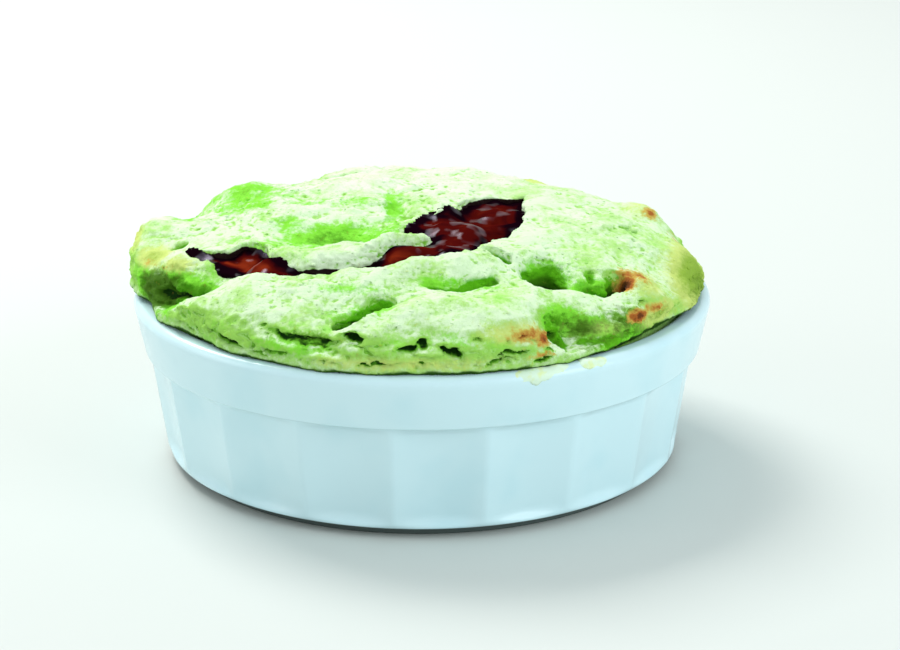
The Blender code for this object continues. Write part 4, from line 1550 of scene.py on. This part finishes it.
def rim_surface(angle, across):
    """Point and outward direction on the glazed rim, and down its outer side past the rounding."""
    centre = RIM_RADIUS - RIM_ROUND
    bend = np.clip(across / RIM_ROUND, 0, math.pi / 2)
    flat = np.minimum(across, 0)
    down = np.maximum(across - RIM_ROUND * math.pi / 2, 0)
    lean = BAND_TAPER / BAND_HEIGHT
    radius = centre + flat + RIM_ROUND * np.sin(bend) - lean * down
    height = RIM_TOP - RIM_ROUND + RIM_ROUND * np.cos(bend) - down
    way = np.column_stack([np.sin(bend) * np.cos(angle), np.sin(bend) * np.sin(angle), np.cos(bend)])
    return np.column_stack([radius * np.cos(angle), radius * np.sin(angle), height]), way


def smear_mesh():
    """A film over part of the rim whose edge dips under the glaze."""
    turns = np.arange(*np.radians(SMEAR_TURNS), SMEAR_STEP / RIM_RADIUS)
    widths = np.arange(SMEAR_ACROSS[0] * MM, SMEAR_ACROSS[1] * MM, SMEAR_STEP)
    grid_turn, grid_width = np.meshgrid(turns, widths)
    angle, across = grid_turn.ravel(), grid_width.ravel()
    surface, way = rim_surface(angle, across)
    plan = np.column_stack([angle * RIM_RADIUS, across])
    ragged = 0.45 * noise(plan, 1.6 * MM, 71) + 0.3 * noise(plan, 0.7 * MM, 72)
    film = np.full(len(angle), -0.2 * MM)
    for at, out, half_along, half_across, thick in SMEARS:
        u = (angle - math.radians(at)) * RIM_RADIUS / (half_along * MM)
        v = (across - out * MM) / (half_across * MM)
        film = np.maximum(film, thick * MM * (1 - np.hypot(u, v) + ragged * 0.4))
    film = np.minimum(film, SMEAR_THICKEST)
    points = surface + way * film[:, None]
    keep = (film > SMEAR_EDGE).reshape(grid_turn.shape)
    cells = keep[:-1, :-1] & keep[1:, :-1] & keep[:-1, 1:] & keep[1:, 1:]
    return grid_mesh("baked_smear", points, cells)


print("smear of", len(SMEARS), "patches")


# %% [markdown]
# ## Lay the smear
#
# The film gets a thickness inwards, so that it is a closed body. Baked batter is duller than the
# glaze and nearly its colour, because the film is so thin, with yellow blotches 1.6 mm wide where
# it browned.

# %% Lay the smear
smear = new_piece("baked_smear", smear_mesh())
thick = smear.modifiers.new("film", "SOLIDIFY")
thick.thickness = SMEAR_FILM
thick.offset = 1
baked(smear)
face_out(smear.data)
smear.data.shade_smooth()
material, tree, shader = principled("baked_smear", "#d8eed6", Roughness=0.5, IOR=1.4)
place = add(tree, "ShaderNodeTexCoord")["Object"]
blotches = add(tree, "ShaderNodeTexNoise", place, by_name={"Scale": 1 / (1.6 * MM), "Detail": 3.0})
colour = layered(tree, linear("#d8eed6"), (("#d9e9a8", blotches, 0.45, 0.75),))
tree.links.new(colour, shader.inputs["Base Color"])
smear.data.materials.append(material)
print("smear", len(smear.data.polygons), "faces")


# %% [markdown]
# ## Crumbs
#
# Flakes and crumbs of the skin lie on the crust. A particle system could scatter them, but a tree
# can end in plain mesh, which the export keeps. It scatters small flattened lumps where the crust
# is rough, and half sinks them. Each has 80 faces, so thousands of them stay cheap.

# %% Loose crumbs
tree, given = new_tree(
    "loose_crumbs",
    Per_Square_Metre="Float",
    Smallest="Float",
    Largest="Float",
    Seed="Int",
    Skin="Material",
)
where = add(tree, "GeometryNodeInputNamedAttribute", "crumbly", data_type="FLOAT")
density = add(tree, MATH, where, given["Per Square Metre"], operation="MULTIPLY")
scatter = {"Density": density, "Seed": given["Seed"]}
spread = add(tree, "GeometryNodeDistributePointsOnFaces", given["Geometry"], by_name=scatter)
lump = add(tree, "GeometryNodeMeshIcoSphere", by_name={"Radius": 0.5, "Subdivisions": 2})
size = add(
    tree,
    "FunctionNodeRandomValue",
    by_name={2: given["Smallest"], 3: given["Largest"], 8: given["Seed"]},
    data_type="FLOAT",
)[1]
across = add(tree, MATH, size, 0.7, operation="MULTIPLY")
thick = add(tree, MATH, size, 0.45, operation="MULTIPLY")
sizes = add(tree, "ShaderNodeCombineXYZ", size, across, thick)
placed = add(
    tree,
    "GeometryNodeInstanceOnPoints",
    spread["Points"],
    by_name={"Instance": lump, "Rotation": spread["Rotation"], "Scale": sizes},
)
finish_tree(tree, placed, given["Skin"])
print(tree.name, len(tree.nodes), "nodes")


# %% [markdown]
# ## Scatter them
#
# The crumbs are up to a millimetre long, the size of a coarse breadcrumb, and have the crust's own
# material. The tree runs on a copy of the crust, which it replaces with the crumbs alone, so that
# they are a piece of their own.

# %% Scatter the crumbs
crumbs = new_piece("loose_crumbs", souffle.data.copy())
use_tree(
    crumbs,
    tree,
    Per_Square_Metre=110000.0,
    Smallest=0.35 * MM,
    Largest=1.0 * MM,
    Seed=5,
    Skin=crust,
)
crumbs.data.shade_smooth()
print("crumbs", len(crumbs.data.polygons), "faces")


# %% [markdown]
# ## Floor and sky
#
# A pale matt table and a cool, even sky make up the studio. A picture of a room could light it as
# well, but its windows would show in the glaze.

# %% Stage
HALF_FLOOR = 4.0
SKY = (0.86, 0.93, 0.95, 1)
SKY_STRENGTH = 0.8
corners = [(x * HALF_FLOOR, y * HALF_FLOOR, 0) for x, y in ((-1, -1), (1, -1), (1, 1), (-1, 1))]
floor_mesh = bpy.data.meshes.new("floor")
floor_mesh.from_pydata(corners, [], [(0, 1, 2, 3)])
floor = new_piece("floor", floor_mesh)
table_top, *_ = principled("pale_table", "#cfd3cf", Roughness=0.9)
floor.data.materials.append(table_top)
world = bpy.data.worlds.new("studio")
scene.world = world
world.use_nodes = True
background = world.node_tree.nodes["Background"]
background.inputs["Color"].default_value = SKY
background.inputs["Strength"].default_value = SKY_STRENGTH
print("floor", round(floor.dimensions.x), "m wide")


# %% [markdown]
# ## Lights
#
# A soft window behind the dish on the left draws the relief of the crust and throws the shadow
# forward to the right. Two weak cards lift the sides of the dish. Lamps without a size would give
# hard shadows, so all three are soft boxes.

# %% Lights
MIDDLE = Vector((0, 0, 0.03))


def add_light(name, place, size, power, colour):
    """A square soft box that shines at the middle of the dish."""
    data = bpy.data.lights.new(name, "AREA")
    data.energy = power
    data.size = size
    data.color = colour
    light = bpy.data.objects.new(name, data)
    light.location = place
    light.rotation_euler = (MIDDLE - light.location).to_track_quat("-Z", "Y").to_euler()
    scene.collection.objects.link(light)


add_light("window", (-0.38, 0.5, 0.76), 0.46, 7.8, (1.0, 0.99, 0.96))
add_light("right_card", (0.62, -0.42, 0.34), 0.5, 2.6, (0.88, 0.97, 1.0))
add_light("left_card", (-0.72, -0.12, 0.26), 0.4, 0.8, (0.96, 1.0, 0.98))
print(len(bpy.data.lights), "lights")


# %% [markdown]
# ## Hook the pieces up
#
# Each piece rides on the part's one body. The body of the souffle, the sauce and the dish stand in
# for their solids, and the smear and the crumbs only lie on them.

# %% Hook the pieces to the frame
for piece, node, finish in (
    (souffle, "souffle", "crust"),
    (sauce, "dark_filling", "filling"),
    (dish, "ramekin", "porcelain"),
):
    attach(piece, "root")
    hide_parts(node)
    print(piece.name, "stands for", node)
for piece in (smear, crumbs):
    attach(piece, "root")
